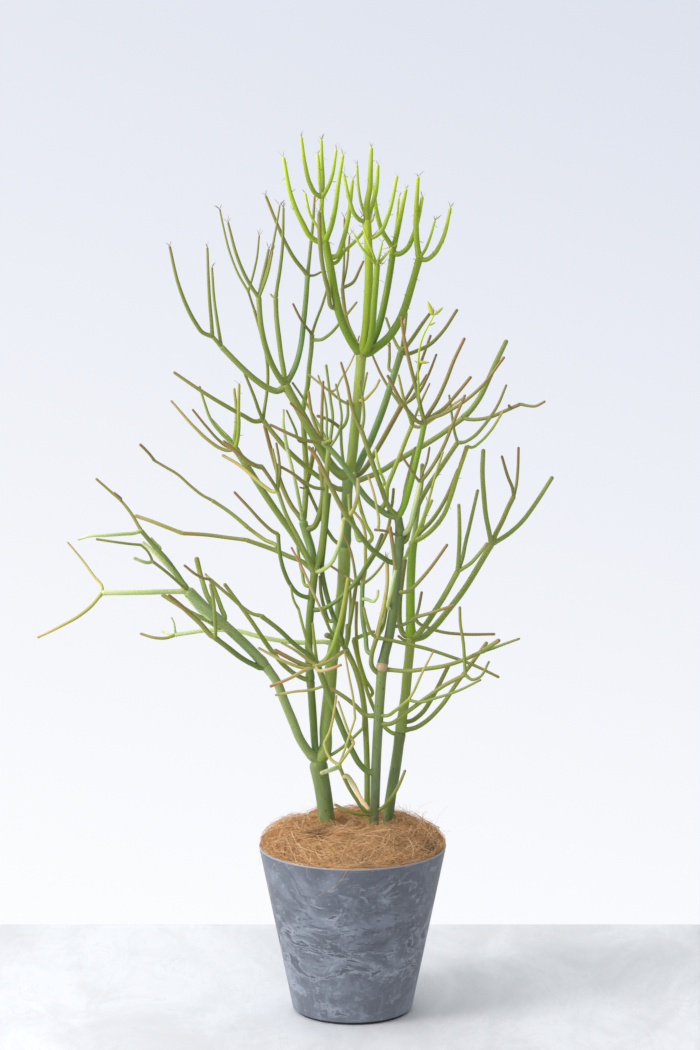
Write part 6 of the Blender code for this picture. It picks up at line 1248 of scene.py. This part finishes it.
def fibreTree():
    work = Growth("woundFibres", {
        "Fibres": ("Int", 1000), "Points": ("Int", 12), "Shortest": ("Float", 0.03), "Longest": ("Float", 0.1),
        "Thickness": ("Float", 0.0002), "Lift": ("Float", 0.003), "Straying": ("Float", 0.01),
        "Edge": ("Float", 0.12), "Seed": ("Int", 1), "Finish": ("Material", None)})
    calc, step, product, total, given = work.calc, work.step, work.product, work.total, work.given
    row = step("MeshLine", {"Count": given["Fibres"]}, "Mesh")
    strand = step("CurvePrimitiveLine", {}, "Curve")
    strand = step("ResampleCurve", {"Curve": strand, "Count": given["Points"]}, "Curve")
    strands = step("InstanceOnPoints", {"Points": row, "Instance": strand}, "Instances")
    strands = step("RealizeInstances", {"Geometry": strands})
    owner = step("CurveOfPoint", {}, "Curve Index")
    t = calc("SUBTRACT", step("SplineParameter", {}, "Factor"), 0.5)

    def drawn(low, high, k):
        # a random number for each fibre
        made = work.put("FunctionNodeRandomValue", data_type="FLOAT")
        ends = [socket for socket in made.inputs if socket.enabled]
        seed = total(product(given["Seed"], 20), k)
        for socket, value in ((ends[0], low), (ends[1], high), (made.inputs["ID"], owner), (made.inputs["Seed"], seed)):
            work.feed(socket, value)
        return [socket for socket in made.outputs if socket.enabled][0]

    def drifts(x, y, z, scale, detail):
        # the channels of a noise
        place = work.joined(x, y, z)
        made = work.put("ShaderNodeTexNoise", {"Vector": place, "Scale": scale, "Detail": detail})
        return work.put("FunctionNodeSeparateColor", {0: made.outputs["Color"]}).outputs

    edge, lift, stray = given["Edge"], given["Lift"], given["Straying"]
    radius = product(calc("SQRT", drawn(0.015, 0.995, 1)), edge)
    angle = drawn(0.0, math.tau, 2)
    length = drawn(given["Shortest"], given["Longest"], 3)
    # neighbours share a drift and a lift, so that they gather in bundles
    bundle = drifts(product(radius, calc("COSINE", angle)), product(radius, calc("SINE", angle)),
                    product(given["Seed"], 0.37), 24, 1)
    wave = drifts(product(t, product(length, 24)), product(owner, 3.17), 0.0, 1.0, 2)
    shared = product(calc("SUBTRACT", bundle[0], 0.5), 7.0)
    drift = product(total(shared, product(drawn(-1.0, 1.0, 4), 1.7)), product(stray, 2.2))
    sweep = calc("DIVIDE", length, calc("MAXIMUM", radius, 0.022))
    wobble = product(calc("SUBTRACT", wave[0], 0.5), product(stray, 1.5))
    theta = total(angle, product(sweep, t))
    limit = total(edge, product(drawn(-0.3, 1.0, 8), 0.0030))
    rho = calc("MINIMUM", total(radius, product(drift, t), wobble), limit)
    x, y = product(rho, calc("COSINE", theta)), product(rho, calc("SINE", theta))
    # each fibre lies on the mat below it, arched, with one end lifting
    hit = step("Raycast", {
        "Target Geometry": given["Geometry"], "Source Position": work.joined(x, y, 0.6),
        "Ray Direction": (0, 0, -1), "Ray Length": 1.0}, "Hit Position")
    ground = calc("MAXIMUM", work.parts(hit)["Z"], coirValues["edgeHeight"] - 0.003)
    arch = calc("SUBTRACT", 1.0, product(product(t, t), 4.0))
    rise = product(calc("POWER", drawn(0.0, 1.0, 5), 2.2), lift)
    rise = total(rise, product(calc("MAXIMUM", calc("SUBTRACT", bundle[1], 0.46), 0.0), 0.030))
    tipUp = product(calc("POWER", drawn(0.0, 1.0, 6), 5.0), product(lift, 2.2))
    ends = product(calc("MAXIMUM", calc("SUBTRACT", t, 0.1), 0.0), 2.4)
    ripple = product(calc("SUBTRACT", wave[1], 0.42), product(lift, 0.9))
    z = total(ground, product(rise, total(0.25, arch)), product(tipUp, ends), ripple)
    strands = step("SetPosition", {"Geometry": strands, "Position": work.joined(x, y, z)})
    strands = work.kept(strands, "strand", "FLOAT", drawn(0.0, 1.0, 7))
    thick = product(given["Thickness"], drawn(0.55, 1.5, 9))
    work.finish(work.tube(strands, thick, 3), given["Finish"])
    return work


def makeCoirFibres(body):
    fibres = fibreTree()
    labels = ("Fibres", "Points", "Shortest", "Longest", "Thickness", "Lift", "Straying", "Seed")
    common = {"Edge": coirValues["edgeRadius"], "Finish": coirFibre()}
    for name, *values in coirValues["layers"]:
        ground = placed(name + "_ground", body.data.copy())
        piece = fibres.run(ground, dict(zip(labels, values), **common), name)
        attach(piece, "root")
        print(name, "has", len(piece.data.polygons), "faces")


def strayWalk(number, rand):
    # the curling line of a single fibre that stands up from the mat
    v = coirValues
    angle = math.radians(rand.gauss(*(v["strayHome"] if number % 3 else (rand.uniform(0, 360), 20))))
    far = v["edgeRadius"] * rand.uniform(0.62, 0.97)
    place = Vector((far * math.cos(angle), far * math.sin(angle), 0))
    place.z = mounding(place.x, place.y) - 0.001
    outward = Vector((math.cos(angle), math.sin(angle), 0))
    sideways = Vector((-math.sin(angle), math.cos(angle), 0)) * rand.choice((-1, 1))
    heading = (sideways * rand.uniform(0.3, 1.2) + outward * rand.uniform(-0.4, 0.8)
               + Vector((0, 0, rand.uniform(0.5, 1.3)))).normalized()
    axis = Vector([rand.uniform(-1, 1) for _ in range(3)]).normalized()
    bend = rand.uniform(0.05, 0.20)
    walk = [place]
    for k in range(rand.randint(12, 24)):
        heading = (heading + axis.cross(heading) * bend - Vector((0, 0, 0.02 * k * bend))).normalized()
        axis = (axis + Vector([rand.uniform(-1, 1) for _ in range(3)]) * 0.25).normalized()
        place = place + heading * v["strayStep"]
        if place.z > v["strayTop"] or math.hypot(place.x, place.y) > v["strayReach"]:
            break
        walk.append(place)
    return walk


def makeStrays(tubes):
    # single fibres that stand up from the edge, and one that hangs over the rim
    v = coirValues
    rand = random.Random(v["straySeed"])
    points, edges, girth, strand = [], [], [], []

    def addStray(walk, radius):
        tint = rand.uniform(0.3, 1.0)
        for k, place in enumerate(walk):
            if k:
                edges.append((len(points) - 1, len(points)))
            points.append(place)
            girth.append(radius * (1 - 0.5 * k / len(walk)))
            strand.append(tint)

    for number in range(v["strays"]):
        addStray(strayWalk(number, rand), rand.uniform(0.00010, 0.00020))
    hanging = []
    for degrees, height, off in v["hanging"]:
        far = min(potRadius(height), potValues["rimRadius"]) + off
        hanging.append(Vector((far * math.cos(math.radians(degrees)), far * math.sin(math.radians(degrees)), height)))
    addStray(curveThrough(hanging, 0.003), 0.00024)
    lines = meshWith("coirStrays_lines", points, edges, {
        "girth": ("FLOAT", girth), "stout": ("FLOAT", girth), "strand": ("FLOAT", strand)})
    piece = tubes.run(lines, {"Finish": bpy.data.materials["coirFibre"]}, "coirStrays")
    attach(piece, "root")


def shaded(work, place, base):
    # less light reaches the fibres at the bottom of the hollows
    for x, y, size, depth, dark in coirValues["hollows"]:
        away = work.put("ShaderNodeVectorMath", {0: place, 1: (x, y, mounding(x, y))}, operation="DISTANCE")
        shade = work.ranged(away.outputs["Value"], size * 1.7, size * 0.75, 0, dark)
        base = work.blended(shade, base, (0.30, 0.24, 0.20), "MULTIPLY")
    return base


def coirFelt():
    material, work, shader = newMaterial("coirFelt", {"Roughness": 0.95})
    place = work.place()
    matted = work.noise(place, 110, 7, 0.72, 2.5)
    patches = work.noise(place, 26, 3, 0.6)
    base = work.layered((0.075, 0.034, 0.013), (work.ranged(matted, 0.38, 0.66), (0.42, 0.215, 0.085)),
                        (work.ranged(patches, 0.35, 0.65, 0, 0.5), (0.16, 0.080, 0.032)))
    work.links.new(shaded(work, place, base), shader.inputs["Base Color"])
    work.bumped(shader, matted, 0.003, 0.9)
    return material


def coirFibre():
    material, work, shader = newMaterial("coirFibre", {"Roughness": 0.7})
    strand = work.attribute("strand", "Fac")
    place = work.place()
    patches = work.noise(place, 30, 3, 0.6)
    fine = work.noise(place, 900, 3, 0.6)
    base = work.layered((0.50, 0.240, 0.088), (work.ranged(strand, 0.0, 0.85, 0, 1, "LINEAR"), (0.96, 0.62, 0.305)),
                        (work.ranged(strand, 0.86, 0.99), (0.98, 0.80, 0.54)),
                        (work.ranged(patches, 0.4, 0.7, 0, 0.35), (0.46, 0.23, 0.09)),
                        (work.ranged(fine, 0.45, 0.7, 0, 0.25), (0.40, 0.20, 0.08)))
    work.links.new(shaded(work, place, base), shader.inputs["Base Color"])
    work.bumped(shader, fine, 0.0001, 0.4)
    return material


def dressSoil():
    material, work, shader = newMaterial("pottingSoil", {"Roughness": 0.95})
    crumbs = work.noise(work.place(), 210, 7, 0.7)
    base = work.blended(work.ranged(crumbs, 0.35, 0.7), (0.018, 0.012, 0.008), (0.075, 0.050, 0.032))
    work.links.new(base, shader.inputs["Base Color"])
    work.bumped(shader, crumbs, 0.002, 0.9)
    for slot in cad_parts["soil"].material_slots:
        slot.material = material


makeCamera()
makeAir()
makeTable()
areaLight("windowLeft", (-2.9, -1.5, 2.5), (0, 0, 0.55), 1.7, 95, (1.0, 0.985, 0.96))
print("camera, table and light are ready")
makePot()
dressSoil()
print("the pot is ready")
tubes = tubeTree()
makeCoirFibres(makeCoirBody())
makeStrays(tubes)
print("the coir is ready")
bark = greenBark()
for stemName in stemRows:
    makeStem(stemName, tubes, bark)
print("the stems are ready")
makeLeavesAndScars()
print("leaves and scars are ready")
bpy.context.scene.view_settings.view_transform = "Standard"
